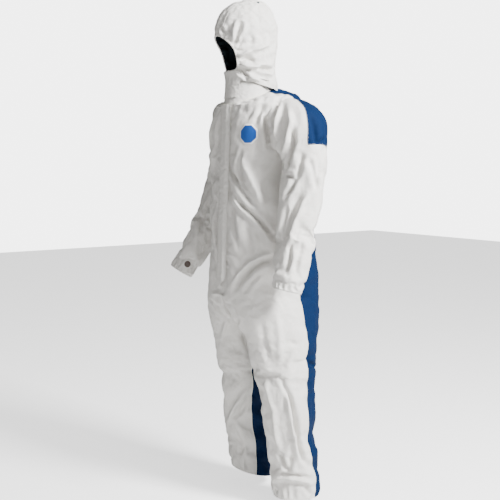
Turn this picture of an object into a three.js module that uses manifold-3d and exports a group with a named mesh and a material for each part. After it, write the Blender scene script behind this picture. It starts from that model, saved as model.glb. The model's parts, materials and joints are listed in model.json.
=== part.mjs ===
// A hooded chemical protective coverall, standing as if worn: white front, sleeves and hood,
// blue back, with a zip under a storm flap. Each cut panel is a thin closed sheet of its own.
//
// Millimetres, +Z up. The suit faces -Y and +X is the wearer's left. The origin is the centre
// of the neck seam, where the wearer's shoulders carry the suit.
import * as THREE from "three";
import { mergeVertices } from "three/addons/utils/BufferGeometryUtils.js";
import Module from "manifold-3d";

const wasm = await Module();
wasm.setup();

// ---- Driving sizes. Heights are above the trouser hems. ----
const WALL = 1.5; // every fabric sheet
const SEAM = 0.4; // between two sheets that are sewn together
const INNER_GAP = 0.9; // between a sheet and what is bonded inside it, where it curves
const ELASTIC_WALL = 1.2;
const NECK_SEAM_HEIGHT = 1356; // middle of the neck seam, which is the part's origin
const NECK_Y = -35;

// The zip is straight, so the middle of the front is a straight line.
const ZIP_TOP = 1312;
const ZIP_BOTTOM = 712;
const FRONT_AT_TOP = -136; // y of the front at ZIP_TOP
const FRONT_AT_BOTTOM = -158; // y of the front at ZIP_BOTTOM
const ZIP_GAP = 7; // half the opening between the two front panels
const ZIP_CHAIN = 5.6; // width of the closed chain
const ZIP_CHAIN_DEPTH = 2;
const ZIP_TAPE = 15; // width of each tape
const SLIDER_WIDTH = 11;
const SLIDER_LENGTH = 16;
const SLIDER_DEPTH = 5;
const SLIDER_WALL = 1;
const SLIDER_CLEARANCE = 0.5;
const PULL_LENGTH = 22;
const PULL_WIDTH = 6;
const PULL_DEPTH = 1.4;
const FLAP_HALF = 30; // half the width of the storm flap
const FLAP_WALL = 1.2;
const FLAP_RISE = 8; // how far the flap arches over the slider
const FLAP_BOTTOM = 690;
const FLAP_TOP = 1322;
const FLAP_POINT = 26; // height of the pointed lower end
const FLAP_TAPE_WIDTH = 12; // adhesive strip under the free edge
const FLAP_TAPE_DEPTH = 0.8;

const ARMHOLE_RADIUS = 99; // round, so that a sleeve can swing in it
const ARMHOLE_HEIGHT = 1241;
const ARMHOLE_Y = 18;
const ARMHOLE_CLEARANCE = 0.8;
const ARMHOLE_TOOL = 200;
const SLEEVE_START = 138; // x of the sleeve's edge inside the torso
const SIDE_SEAM = 96; // degrees round from the front

const CUFF_ELASTIC = 14;
const ANKLE_ELASTIC = 16;
const WAIST_ELASTIC = 22;

const HOOD_TURN = -17; // degrees, the head looks a little to the wearer's right
const HOOD_Y = -48;
const HOOD_PANEL_HALF = 46; // half the width of the middle panel of the hood
const FACE_ELASTIC = 7;

const BADGE_ACROSS = 68; // octagonal chest badge, across its flats
const BADGE_DEPTH = 1;
const BADGE_X = 117;
const BADGE_HEIGHT = 1218;
const PATCH_RADIUS = 12; // round patch by the right cuff
const PATCH_DEPTH = 0.8;

const WHITE = { color: 0xe6e4e0, roughness: 0.75, metalness: 0 };
const BLUE = { color: 0x17497f, roughness: 0.8, metalness: 0 };
const DARK = { color: 0x10181f, roughness: 0.7, metalness: 0 };
const ELASTIC = { color: 0xd8d8d2, roughness: 0.9, metalness: 0 };
const ZIP = { color: 0xf0f0ee, roughness: 0.5, metalness: 0 };
const ADHESIVE = { color: 0xdedcc8, roughness: 0.35, metalness: 0 };
const BADGE = { color: 0x1c6fc4, roughness: 0.5, metalness: 0 };
const GREY = { color: 0x6e6e6e, roughness: 0.6, metalness: 0 };

const suit = new THREE.Group();
suit.position.set(0, -NECK_Y, -NECK_SEAM_HEIGHT);

// ---- Shaping tools ----
const radians = THREE.MathUtils.degToRad;
const frontY = (z) =>
  FRONT_AT_BOTTOM + ((z - ZIP_BOTTOM) / (ZIP_TOP - ZIP_BOTTOM)) * (FRONT_AT_TOP - FRONT_AT_BOTTOM);

// Evenly spaced numbers from a to b.
const steps = (a, b, count) => Array.from({ length: count + 1 }, (_, i) => a + ((b - a) * i) / count);

// The stations' named numbers at a place v between them, on a smooth curve through them all.
function between(stations, v) {
  const last = stations.length - 1;
  const i = Math.min(Math.max(Math.floor(v), 0), last - 1);
  const t = v - i;
  const at = (k) => stations[Math.min(Math.max(k, 0), last)];
  const mixed = {};
  for (const key of Object.keys(stations[0])) {
    const [a, b, c, d] = [at(i - 1), at(i), at(i + 1), at(i + 2)].map((s) => s[key]);
    const rise = (c - a) / 2;
    const fall = (d - b) / 2;
    const slope = c - b;
    mixed[key] = b + t * (rise + t * (3 * slope - 2 * rise - fall + t * (rise + fall - 2 * slope)));
  }
  return mixed;
}

// A point of a squared-off oval: u is the angle from the front, towards the wearer's left.
function oval(half, depth, power, u) {
  const reach = (Math.abs(Math.sin(u) / half) ** power + Math.abs(Math.cos(u) / depth) ** power) ** (-1 / power);
  return [reach * Math.sin(u), -reach * Math.cos(u)];
}

function closedMesh(points, faces) {
  const geometry = new THREE.BufferGeometry().setFromPoints(points);
  let volume = 0;
  for (const [a, b, c] of faces) {
    volume += points[a].dot(new THREE.Vector3().crossVectors(points[b], points[c]));
  }
  geometry.setIndex(faces.flatMap(([a, b, c]) => (volume < 0 ? [a, c, b] : [a, b, c])));
  return geometry;
}

// The outward normal of a tube at (v, u). A tube is { at(v, u), middle(v) }.
function outward(tube, v, u) {
  const step = 1e-3;
  const here = tube.at(v, u);
  const along = tube.at(v + step, u).sub(tube.at(v - step, u));
  const round = tube.at(v, u + step).sub(tube.at(v, u - step));
  const normal = new THREE.Vector3().crossVectors(round, along).normalize();
  return normal.dot(here.sub(tube.middle(v))) < 0 ? normal.negate() : normal;
}

// A sheet cut from a tube between the places vs and the angles us, which may change with v.
// It lies `inset` under the tube's surface, and half a seam is trimmed off each edge.
function sheet(tube, vs, us, { inset = 0, wall = WALL, closed = false, trim = SEAM / 2 } = {}) {
  const angles = typeof us === "function" ? us : () => us;
  const rows = vs.length;
  const columns = angles(vs[0]).length - (closed ? 1 : 0);
  const outer = [];
  const inner = [];
  vs.forEach((v, i) => {
    const pace = tube.at(v + 1e-3, 0).distanceTo(tube.at(v - 1e-3, 0)) / 2e-3;
    const shift = i === 0 ? trim / pace : i === rows - 1 ? -trim / pace : 0;
    const place = v + shift;
    const row = angles(place);
    for (let j = 0; j < columns; j++) {
      const gap = tube.at(place, row[j] + 1e-3).distanceTo(tube.at(place, row[j] - 1e-3)) / 2e-3;
      const edge = closed ? 0 : j === 0 ? trim / gap : j === columns - 1 ? -trim / gap : 0;
      const u = row[j] + edge;
      const normal = outward(tube, place, u);
      outer.push(tube.at(place, u).addScaledVector(normal, -inset));
      inner.push(tube.at(place, u).addScaledVector(normal, -inset - wall));
    }
  });
  const points = [...outer, ...inner];
  const under = outer.length;
  const faces = [];
  const quad = (a, b, c, d) => faces.push([a, b, c], [a, c, d]);
  const spans = closed ? columns : columns - 1;
  const index = (i, j) => i * columns + (j % columns);
  for (let i = 0; i < rows - 1; i++) {
    for (let j = 0; j < spans; j++) {
      const corners = [index(i, j), index(i, j + 1), index(i + 1, j + 1), index(i + 1, j)];
      quad(...corners);
      quad(...corners.map((k) => k + under).reverse());
    }
  }
  for (let j = 0; j < spans; j++) {
    quad(index(0, j + 1), index(0, j), index(0, j) + under, index(0, j + 1) + under);
    quad(index(rows - 1, j), index(rows - 1, j + 1), index(rows - 1, j + 1) + under, index(rows - 1, j) + under);
  }
  if (!closed) {
    for (let i = 0; i < rows - 1; i++) {
      quad(index(i, 0), index(i + 1, 0), index(i + 1, 0) + under, index(i, 0) + under);
      const end = columns - 1;
      quad(index(i + 1, end), index(i, end), index(i, end) + under, index(i + 1, end) + under);
    }
  }
  return closedMesh(points, faces);
}

// Solids for cutting and joining.
function solid(geometry) {
  const bare = geometry.clone();
  bare.deleteAttribute("normal");
  bare.deleteAttribute("uv");
  const merged = mergeVertices(bare, 1e-4);
  const triVerts = new Uint32Array(merged.index.array);
  return new wasm.Manifold(new wasm.Mesh({ numProp: 3, vertProperties: merged.attributes.position.array, triVerts }));
}

function geometryOf(manifold) {
  const mesh = manifold.getMesh();
  return new THREE.BufferGeometry()
    .setAttribute("position", new THREE.BufferAttribute(new Float32Array(mesh.vertProperties), 3))
    .setIndex(new THREE.BufferAttribute(new Uint32Array(mesh.triVerts), 1));
}

function add(name, geometry, look, parent = suit) {
  const mesh = new THREE.Mesh(geometry, new THREE.MeshStandardMaterial(look));
  mesh.name = name;
  parent.add(mesh);
  return mesh;
}

// A closed solid that fills a tube from place vs[0] to the last, for cutting and joining.
function plug(tube, vs, count, inset = 0) {
  const points = [];
  for (const v of vs) {
    for (let j = 0; j < count; j++) {
      const u = (2 * Math.PI * j) / count;
      points.push(tube.at(v, u).addScaledVector(outward(tube, v, u), -inset));
    }
  }
  const faces = [];
  for (let i = 0; i < vs.length - 1; i++) {
    for (let j = 0; j < count; j++) {
      const [a, b] = [i * count + j, i * count + ((j + 1) % count)];
      faces.push([a, b, b + count], [a, b + count, a + count]);
    }
  }
  const cap = (first, turned) => {
    const middle = new THREE.Vector3();
    for (let j = 0; j < count; j++) middle.addScaledVector(points[first + j], 1 / count);
    points.push(middle);
    for (let j = 0; j < count; j++) {
      const [a, b] = [first + j, first + ((j + 1) % count)];
      faces.push(turned ? [b, a, points.length - 1] : [a, b, points.length - 1]);
    }
  };
  cap(0, true);
  cap((vs.length - 1) * count, false);
  return solid(closedMesh(points, faces));
}

const slab = (x, y, z, width, depth, height) =>
  solid(new THREE.BoxGeometry(width, depth, height).translate(x, y, z));

// ---- Torso: rings from the crotch to the neck seam ----
// front, rear: height of the ring at its front and back; back: y of its back; half: half its width
const TORSO = [
  { front: 660, rear: 660, back: 207, half: 186, power: 2.2 }, // crotch
  { front: 750, rear: 750, back: 203, half: 186, power: 2.2 }, // hips
  { front: 840, rear: 840, back: 188, half: 182, power: 2.3 },
  { front: 960, rear: 960, back: 164, half: 174, power: 2.5 }, // waist
  { front: 1060, rear: 1060, back: 152, half: 169, power: 2.8 },
  { front: 1140, rear: 1145, back: 148, half: 167, power: 3.3 }, // under the arms
  { front: 1215, rear: 1225, back: 146, half: 167, power: 3.5 }, // chest
  { front: 1275, rear: 1302, back: 137, half: 167, power: 3.1 },
  { front: 1312, rear: 1358, back: 114, half: 164, power: 2.6 }, // shoulders
  { front: 1319, rear: 1377, back: 90, half: 149, power: 2.4 },
  { front: 1321, rear: 1387, back: 68, half: 116, power: 2.3 },
  { front: 1324, rear: 1392, back: 50, half: 80, power: 2 }, // neck seam
];
const WAIST = 960;
const NECK = TORSO.length - 1;

const torso = {
  middle(v) {
    const ring = between(TORSO, v);
    return new THREE.Vector3(0, (ring.back + frontY(ring.front)) / 2, (ring.front + ring.rear) / 2 - 30);
  },
  at(v, u) {
    const ring = between(TORSO, v);
    const near = frontY(ring.front);
    const depth = (ring.back - near) / 2;
    const [x, y] = oval(ring.half, depth, ring.power, u);
    const share = (y + depth) / (2 * depth);
    return new THREE.Vector3(x, near + depth + y, ring.front + (ring.rear - ring.front) * share);
  },
};

// The angle at which the torso's front is x from its middle.
function frontAngle(v, x) {
  const ring = between(TORSO, v);
  const depth = (ring.back - frontY(ring.front)) / 2;
  return Math.atan2(x, depth * (1 - (Math.abs(x) / ring.half) ** ring.power) ** (1 / ring.power));
}

// The place on a tube whose front, at angle u, is at height z.
function placeAt(tube, z, low, high, u = 0) {
  const rising = tube.at(high, u).z > tube.at(low, u).z;
  for (let i = 0; i < 40; i++) {
    const v = (low + high) / 2;
    if (tube.at(v, u).z < z === rising) low = v;
    else high = v;
  }
  return low;
}

const armholeTool = new THREE.CylinderGeometry(
  ARMHOLE_RADIUS + ARMHOLE_CLEARANCE,
  ARMHOLE_RADIUS + ARMHOLE_CLEARANCE,
  ARMHOLE_TOOL,
  48,
);
armholeTool.rotateZ(Math.PI / 2);
const armholes = [1, -1].map((side) =>
  solid(armholeTool.clone().translate(side * (SLEEVE_START - 4 + ARMHOLE_TOOL / 2), ARMHOLE_Y, ARMHOLE_HEIGHT)),
);
const withArmholes = (geometry) =>
  geometryOf(armholes.reduce((left, hole) => left.subtract(hole), solid(geometry)));

// Keeps a row of angles on the wearer's left, or turns it over for the right.
const onSide = (side, row) => (side > 0 ? row : row.map((u) => -u).reverse());
const SIDES = [
  [1, "left"],
  [-1, "right"],
];

const sideAngle = radians(SIDE_SEAM);
const zipEnds = [ZIP_BOTTOM - 9, ZIP_BOTTOM - 7].map((z) => placeAt(torso, z, 0, 7));
const zipStart = placeAt(torso, ZIP_TOP + 8, 7, NECK);
const torsoRows = [0, ...zipEnds, ...steps(0.75, 7, 9), 7.5, 8, 8.5, zipStart, 10, NECK].sort((a, b) => a - b);
// Half the gap between the two front panels: open along the zip, and sewn shut beyond its ends.
const frontGap = (v) => (v < zipEnds[1] || v > zipStart + 0.01 ? SEAM / 2 : ZIP_GAP);
for (const [side, name] of SIDES) {
  const span = (v) => onSide(side, steps(frontAngle(v, frontGap(v)), sideAngle, 9));
  add(`front_${name}_panel`, withArmholes(sheet(torso, torsoRows, span)), WHITE);
}
add("back_panel", withArmholes(sheet(torso, torsoRows, steps(sideAngle, 2 * Math.PI - sideAngle, 18))), BLUE);

// The waist elastic is bonded inside the back.
add(
  "waist_elastic",
  sheet(
    torso,
    [WAIST - WAIST_ELASTIC / 2, WAIST + WAIST_ELASTIC / 2].map((z) => placeAt(torso, z, 0, 7)),
    steps(radians(120), radians(240), 12),
    { inset: WALL + INNER_GAP, wall: ELASTIC_WALL },
  ),
  ELASTIC,
);

// ---- Zip, along the straight middle of the front ----
const zipDirection = new THREE.Vector3(0, FRONT_AT_TOP - FRONT_AT_BOTTOM, ZIP_TOP - ZIP_BOTTOM).normalize();
const zipTilt = Math.atan2(zipDirection.y, zipDirection.z);
// A group whose z runs up the zip, and whose -y points out of the front.
function frontGroup(z, parent = suit) {
  const group = new THREE.Group();
  group.position.set(0, frontY(z), z);
  group.rotation.x = -zipTilt;
  parent.add(group);
  return group;
}
const zipLength = (ZIP_TOP - ZIP_BOTTOM) / Math.cos(zipTilt);
const zipGroup = frontGroup(ZIP_BOTTOM);

const bar = (x0, x1, y0, y1, z0, z1) =>
  new THREE.BoxGeometry(x1 - x0, y1 - y0, z1 - z0).translate((x0 + x1) / 2, (y0 + y1) / 2, (z0 + z1) / 2);

const chainFar = WALL + INNER_GAP - SEAM; // the chain lies on the tapes
const chainNear = chainFar - ZIP_CHAIN_DEPTH;
for (const [side, name] of SIDES) {
  const ends = (a, b) => (side > 0 ? [a, b] : [-b, -a]);
  const [c0, c1] = ends(SEAM / 2, ZIP_CHAIN / 2);
  add(`zip_chain_${name}`, bar(c0, c1, chainNear, chainFar, 0, zipLength), ZIP, zipGroup);
  // Each tape lies behind its front panel.
  const rows = steps(placeAt(torso, ZIP_BOTTOM - 6, 0, 7), placeAt(torso, ZIP_TOP, 0, NECK), 16);
  const tape = sheet(
    torso,
    rows,
    (v) => onSide(side, [SEAM / 2, ZIP_TAPE / 2, ZIP_TAPE].map((x) => frontAngle(v, x))),
    { inset: WALL + INNER_GAP, wall: 0.8, trim: 0 },
  );
  add(`zip_tape_${name}`, tape, ZIP);
}
const STOP_LENGTH = 5;
add("zip_top_stop", bar(-ZIP_CHAIN / 2, ZIP_CHAIN / 2, chainNear - 0.8, chainFar, zipLength + SEAM, zipLength + SEAM + STOP_LENGTH), GREY, zipGroup);
add("zip_bottom_stop", bar(-ZIP_CHAIN / 2, ZIP_CHAIN / 2, chainNear - 0.8, chainFar, -SEAM - STOP_LENGTH, -SEAM), GREY, zipGroup);

// The slider is a plate over the chain with a lip down each side of it.
const sliderTop = zipLength - 1;
const sliderBottom = sliderTop - SLIDER_LENGTH;
const plateFar = chainNear - SLIDER_CLEARANCE;
const lipInside = ZIP_CHAIN / 2 + SLIDER_CLEARANCE;
const sliderPlate = solid(bar(-SLIDER_WIDTH / 2, SLIDER_WIDTH / 2, plateFar - SLIDER_WALL, plateFar, sliderBottom, sliderTop));
const sliderLips = [1, -1].map((side) => {
  const x = [side * lipInside, side * (lipInside + SLIDER_WALL)].sort((a, b) => a - b);
  return solid(bar(x[0], x[1], plateFar - SLIDER_WALL / 2, chainFar - SLIDER_CLEARANCE, sliderBottom, sliderTop));
});
const studRadius = 1.6;
const stud = new THREE.CylinderGeometry(studRadius, studRadius, SLIDER_DEPTH - SLIDER_WALL, 20);
stud.translate(0, plateFar - SLIDER_DEPTH / 2, (sliderTop + sliderBottom) / 2);
const studHead = new THREE.CylinderGeometry(2.7, 2.7, 1, 20);
studHead.translate(0, plateFar - SLIDER_WALL / 2 - SLIDER_DEPTH + 1.4, (sliderTop + sliderBottom) / 2);
const slider = [...sliderLips, solid(stud), solid(studHead)].reduce((whole, piece) => whole.add(piece), sliderPlate);
add("zip_slider", geometryOf(slider), GREY, zipGroup);

// The pull hangs from the slider's stud and can swing sideways on it.
const pullHole = studRadius + 0.4;
const pullShape = new THREE.Shape();
pullShape.absarc(0, 0, PULL_WIDTH / 2 + 0.6, 0, Math.PI, false);
pullShape.lineTo(-PULL_WIDTH / 2, -PULL_LENGTH + PULL_WIDTH / 2);
pullShape.absarc(0, -PULL_LENGTH + PULL_WIDTH / 2, PULL_WIDTH / 2, Math.PI, 2 * Math.PI, false);
const pullEye = new THREE.Path();
pullEye.absarc(0, 0, pullHole, 0, 2 * Math.PI, true);
pullShape.holes.push(pullEye);
const pull = new THREE.ExtrudeGeometry(pullShape, { depth: PULL_DEPTH, bevelEnabled: false, curveSegments: 8 });
pull.rotateX(Math.PI / 2);
pull.translate(0, plateFar - SLIDER_WALL - SEAM, (sliderTop + sliderBottom) / 2);
add("zip_pull", pull, GREY, zipGroup);

// ---- Storm flap: hinged on the wearer's right, with a strip of adhesive under its free edge ----
// How far the flap's inside stands off the front at x.
function flapStand(x) {
  const share = THREE.MathUtils.clamp((FLAP_HALF - 5 - Math.abs(x)) / 12, 0, 1);
  return SEAM + 0.2 + (FLAP_RISE - SEAM - 0.2) * share * share * (3 - 2 * share);
}
const overTape = (x) => (x >= FLAP_HALF - FLAP_TAPE_WIDTH - 3 ? FLAP_TAPE_DEPTH + SEAM : 0);
const slope = steps(FLAP_HALF - 17, FLAP_HALF - 5, 4);
const flapAcross = [-FLAP_HALF, ...slope.map((x) => -x).reverse(), 0, ...slope, FLAP_HALF];
const flapInside = flapAcross.map((x) => new THREE.Vector2(x, -Math.max(flapStand(x), overTape(x) + SEAM)));
const flapOutside = flapInside.map((p) => new THREE.Vector2(p.x, p.y - FLAP_WALL)).reverse();
const flapLength = (FLAP_TOP - FLAP_BOTTOM) / Math.cos(zipTilt);
const flapGroup = frontGroup(FLAP_BOTTOM);
const flapBody = new THREE.ExtrudeGeometry(new THREE.Shape([...flapInside, ...flapOutside]), {
  depth: flapLength,
  bevelEnabled: false,
});
// Its lower end comes to a point.
const flapOutline = new THREE.Shape();
flapOutline.moveTo(0, 0);
flapOutline.lineTo(FLAP_HALF + 1, FLAP_POINT);
flapOutline.lineTo(FLAP_HALF + 1, flapLength + 1);
flapOutline.lineTo(-FLAP_HALF - 1, flapLength + 1);
flapOutline.lineTo(-FLAP_HALF - 1, FLAP_POINT);
const flapCutter = new THREE.ExtrudeGeometry(flapOutline, { depth: 60, bevelEnabled: false });
flapCutter.rotateX(Math.PI / 2);
flapCutter.translate(0, 30, 0);
add("storm_flap", geometryOf(solid(flapBody).intersect(solid(flapCutter))), WHITE, flapGroup);
const adhesiveFar = FLAP_HALF - 2;
const adhesive = bar(
  adhesiveFar - FLAP_TAPE_WIDTH,
  adhesiveFar,
  -SEAM - FLAP_TAPE_DEPTH,
  -SEAM,
  FLAP_POINT + 4,
  flapLength - 4,
);
add("flap_adhesive", adhesive, ADHESIVE, flapGroup);

// ---- Collar: a tilted band standing on the neck seam ----
const COLLAR = [
  { front: 1324, rear: 1392, near: -134, back: 49, half: 79 },
  { front: 1362, rear: 1408, near: -126, back: 42, half: 77 },
  { front: 1437, rear: 1437, near: -116, back: 32, half: 73 },
];
const collar = {
  middle(v) {
    const ring = between(COLLAR, v);
    return new THREE.Vector3(0, (ring.near + ring.back) / 2, (ring.front + ring.rear) / 2);
  },
  at(v, u) {
    const ring = between(COLLAR, v);
    const depth = (ring.back - ring.near) / 2;
    const [x, y] = oval(ring.half, depth, 2, u);
    const share = (y + depth) / (2 * depth);
    return new THREE.Vector3(x, ring.near + depth + y, ring.front + (ring.rear - ring.front) * share);
  },
};
const COLLAR_TOP = COLLAR.length - 1;
for (const [side, name] of SIDES) {
  add(`collar_${name}`, sheet(collar, steps(0, COLLAR_TOP, 4), onSide(side, steps(0, Math.PI, 14))), WHITE);
}

// ---- Hood: three panels, a dark lining and an elastic round the face ----
// In the hood's own axes, which are turned a little to the wearer's right.
const HOOD = [
  { front: 1420, rear: 1390, near: -73, back: 108, half: 86 },
  { front: 1447, rear: 1430, near: -81, back: 101, half: 87 },
  { front: 1480, rear: 1472, near: -100, back: 99, half: 90 },
  { front: 1530, rear: 1530, near: -112, back: 107, half: 94 },
  { front: 1590, rear: 1590, near: -114, back: 107, half: 95 },
  { front: 1632, rear: 1632, near: -103, back: 101, half: 86 },
  { front: 1662, rear: 1662, near: -82, back: 88, half: 70 },
  { front: 1684, rear: 1684, near: -50, back: 67, half: 48 },
  { front: 1696, rear: 1696, near: -16, back: 42, half: 24 },
  { front: 1700, rear: 1700, near: 8, back: 18, half: 4 },
];
const FACE = { bottom: 1440, top: 1567, wide: 1500, half: 75, bottomHalf: 46 };
const hood = {
  middle(v) {
    const ring = between(HOOD, v);
    return new THREE.Vector3(0, (ring.near + ring.back) / 2, (ring.front + ring.rear) / 2 - 40);
  },
  at(v, u) {
    const ring = between(HOOD, v);
    const depth = (ring.back - ring.near) / 2;
    const [x, y] = oval(ring.half, depth, 2.15, u);
    const share = (y + depth) / (2 * depth);
    return new THREE.Vector3(x, ring.near + depth + y, ring.front + (ring.rear - ring.front) * share);
  },
};
const hoodGroup = new THREE.Group();
hoodGroup.position.y = HOOD_Y;
hoodGroup.rotation.z = radians(HOOD_TURN);
suit.add(hoodGroup);

const HOOD_COLUMNS = 32;
const hoodRows = [...steps(0, 8, 10), HOOD.length - 1];
// A shell of the hood, open below.
const hoodShell = (inset, wall) =>
  plug(hood, hoodRows, HOOD_COLUMNS, inset).subtract(
    plug(hood, [-0.15, ...hoodRows.slice(1)], HOOD_COLUMNS, inset + wall),
  );
// A prism through the face opening, made bigger by `wider`.
function faceTool(wider) {
  const low = FACE.bottom - wider;
  const high = FACE.top + wider;
  const half = FACE.half + wider;
  const shape = new THREE.Shape();
  shape.moveTo(-FACE.bottomHalf, low);
  shape.lineTo(FACE.bottomHalf, low);
  shape.bezierCurveTo(FACE.bottomHalf + 22 + wider, low, half, FACE.wide - 34, half, FACE.wide);
  shape.bezierCurveTo(half, FACE.wide + 40, 40, high, 0, high);
  shape.bezierCurveTo(-40, high, -half, FACE.wide + 40, -half, FACE.wide);
  shape.bezierCurveTo(-half, FACE.wide - 34, -FACE.bottomHalf - 22 - wider, low, -FACE.bottomHalf, low);
  const tool = new THREE.ExtrudeGeometry(shape, { depth: 200, bevelEnabled: false, curveSegments: 10 });
  tool.rotateX(Math.PI / 2);
  return solid(tool.translate(0, -10, 0));
}
const hoodFabric = hoodShell(0, WALL).subtract(faceTool(0));
// The middle panel runs from the brow over the crown to the nape.
const middlePanel = slab(0, 0, 1600, 2 * HOOD_PANEL_HALF, 400, 400).subtract(slab(0, -200, 1400, 400, 400, 260));
const middlePanelRoom = slab(0, 0, 1600, 2 * (HOOD_PANEL_HALF + SEAM), 400, 400).subtract(
  slab(0, -200 - SEAM, 1400 - SEAM, 400, 400, 260),
);
const behindMiddle = slab(0, 200, 1400, 2 * HOOD_PANEL_HALF, 400, 400);
const behindMiddleRoom = slab(0, 200 - SEAM, 1400, 2 * (HOOD_PANEL_HALF + SEAM), 400, 400);
add("hood_centre_panel", geometryOf(hoodFabric.intersect(middlePanel.add(behindMiddle))), WHITE, hoodGroup);
for (const [side, name] of SIDES) {
  const half = slab(side * (200 + SEAM / 2), 0, 1550, 400, 500, 600);
  const panel = hoodFabric.intersect(half).subtract(middlePanelRoom).subtract(behindMiddleRoom);
  add(`hood_${name}_panel`, geometryOf(panel), WHITE, hoodGroup);
}
const hoodInner = hoodShell(WALL + INNER_GAP, ELASTIC_WALL);
const faceBand = hoodInner.intersect(faceTool(FACE_ELASTIC)).subtract(faceTool(0));
add("face_elastic", geometryOf(faceBand), ELASTIC, hoodGroup);
const lining = hoodInner.subtract(faceTool(FACE_ELASTIC + SEAM)).subtract(slab(0, 0, 1350, 600, 600, 200));
add("hood_lining", geometryOf(lining), DARK, hoodGroup);


// The hood is sewn to the collar by a narrow ring of fabric between the two.
hoodGroup.updateWorldMatrix(true, false);
const GUSSET_RISE = 8; // above the hood's lower edge
const gussetPlane = new THREE.Group();
gussetPlane.position.set(0, -10, 1397 + GUSSET_RISE);
gussetPlane.rotation.x = Math.atan2(HOOD[0].rear - HOOD[0].front, HOOD[0].back - HOOD[0].near);
gussetPlane.updateMatrixWorld(true);
const toSuit = new THREE.Matrix4().makeRotationZ(radians(HOOD_TURN)).setPosition(0, HOOD_Y, 0);
const gussetSlab = solid(new THREE.BoxGeometry(300, 300, 2).applyMatrix4(gussetPlane.matrixWorld));
const hoodRoom = plug(hood, hoodRows, HOOD_COLUMNS, WALL + SEAM).transform(toSuit.elements);
const collarRoom = plug(collar, steps(-0.3, COLLAR_TOP + 0.3, 6), 56, -SEAM);
add("hood_gusset", geometryOf(gussetSlab.intersect(hoodRoom).subtract(collarRoom)), WHITE);

// ---- Chin flap: lies over the hood's lower front, hinged on the wearer's right ----
const CHIN = [
  { z: 1348, x: 0, near: -131.6, back: 46.8, half: 80.4 },
  { z: 1385, x: 1, near: -127.5, back: 47, half: 80.5 },
  { z: 1414, x: 4, near: -127, back: 61, half: 90.5 },
  { z: 1439, x: 3, near: -131.5, back: 57.5, half: 92 },
];
const CHIN_RIGHT = -46; // degrees round from the front
const CHIN_LEFT = 30;
const chin = {
  middle(v) {
    const ring = between(CHIN, v);
    return new THREE.Vector3(ring.x, (ring.near + ring.back) / 2, ring.z);
  },
  at(v, u) {
    const ring = between(CHIN, v);
    const [x, y] = oval(ring.half, (ring.back - ring.near) / 2, 2, u);
    return new THREE.Vector3(ring.x + x, (ring.near + ring.back) / 2 + y, ring.z);
  },
};
add("chin_flap", sheet(chin, steps(0, 3, 6), steps(radians(CHIN_RIGHT), radians(CHIN_LEFT), 12)), WHITE);

// ---- Limbs ----
// A ring's turn is 0 where it faces sideways and 90 where the limb hangs; its lean is how far
// the limb points forwards there. Half is its radius from side to side, depth from front to back.
function limb(stations, side) {
  const frame = (v) => {
    const ring = between(stations, v);
    const [turn, lean] = [radians(ring.turn), radians(ring.lean)];
    const down = new THREE.Vector3(Math.cos(turn), 0, -Math.sin(turn));
    const across = new THREE.Vector3(Math.sin(turn), 0, Math.cos(turn));
    const ahead = new THREE.Vector3(0, -Math.cos(lean), 0).addScaledVector(down, -Math.sin(lean));
    return { ring, across, ahead, centre: new THREE.Vector3(ring.x, ring.y, ring.z) };
  };
  const mirrored = (point) => point.setX(side * point.x);
  return {
    middle: (v) => mirrored(frame(v).centre),
    at(v, u) {
      const { ring, across, ahead, centre } = frame(v);
      centre.addScaledVector(across, ring.half * Math.sin(u));
      return mirrored(centre.addScaledVector(ahead, ring.depth * Math.cos(u)));
    },
  };
}

// ---- Sleeves ----
// The first rings face sideways in the armhole; then they fan round the armpit.
const ARMPIT = { x: 178, z: ARMHOLE_HEIGHT - ARMHOLE_RADIUS - 7 };
function fanRing(turn, radius, clear, y) {
  const reach = radius + clear;
  return {
    x: ARMPIT.x + reach * Math.sin(radians(turn)),
    y,
    z: ARMPIT.z + reach * Math.cos(radians(turn)),
    turn,
    lean: 0,
    half: radius,
    depth: radius,
  };
}
const armholeRing = (x) => ({
  x,
  y: ARMHOLE_Y,
  z: ARMHOLE_HEIGHT,
  turn: 0,
  lean: 0,
  half: ARMHOLE_RADIUS,
  depth: ARMHOLE_RADIUS,
});
const SHOULDER = [SLEEVE_START, 172, 188].map(armholeRing);
const ARM_BAND = 5; // the elbow's band is between this station and the next
const LEFT_SLEEVE = [
  ...SHOULDER,
  fanRing(36, 94, 5, 14),
  fanRing(72, 77, 4, 8),
  { x: 261, y: 2, z: 1085, turn: 86, lean: 6, half: 72, depth: 73 },
  { x: 266, y: -29, z: 925, turn: 90, lean: 15, half: 65, depth: 67 },
  { x: 272, y: -48, z: 850, turn: 90, lean: 15, half: 61, depth: 62 },
  { x: 280, y: -75, z: 748, turn: 90, lean: 15, half: 53, depth: 54 },
  { x: 284, y: -88, z: 700, turn: 90, lean: 15, half: 46, depth: 48 },
];
const RIGHT_SLEEVE = [
  ...SHOULDER,
  fanRing(36, 89, 5, 28),
  fanRing(72, 73, 4, 36),
  { x: 256, y: 36, z: 1085, turn: 86, lean: -2, half: 70, depth: 71 },
  { x: 265, y: -9, z: 930, turn: 90, lean: 26, half: 63, depth: 65 },
  { x: 273, y: -54, z: 860, turn: 90, lean: 32, half: 58, depth: 59 },
  { x: 287, y: -112, z: 764, turn: 90, lean: 33, half: 51, depth: 51 },
  { x: 292, y: -136, z: 726, turn: 90, lean: 33, half: 44, depth: 46 },
];
const LIMB_COLUMNS = 24;
const whole = (count = LIMB_COLUMNS) => steps(0, 2 * Math.PI, count);
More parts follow.
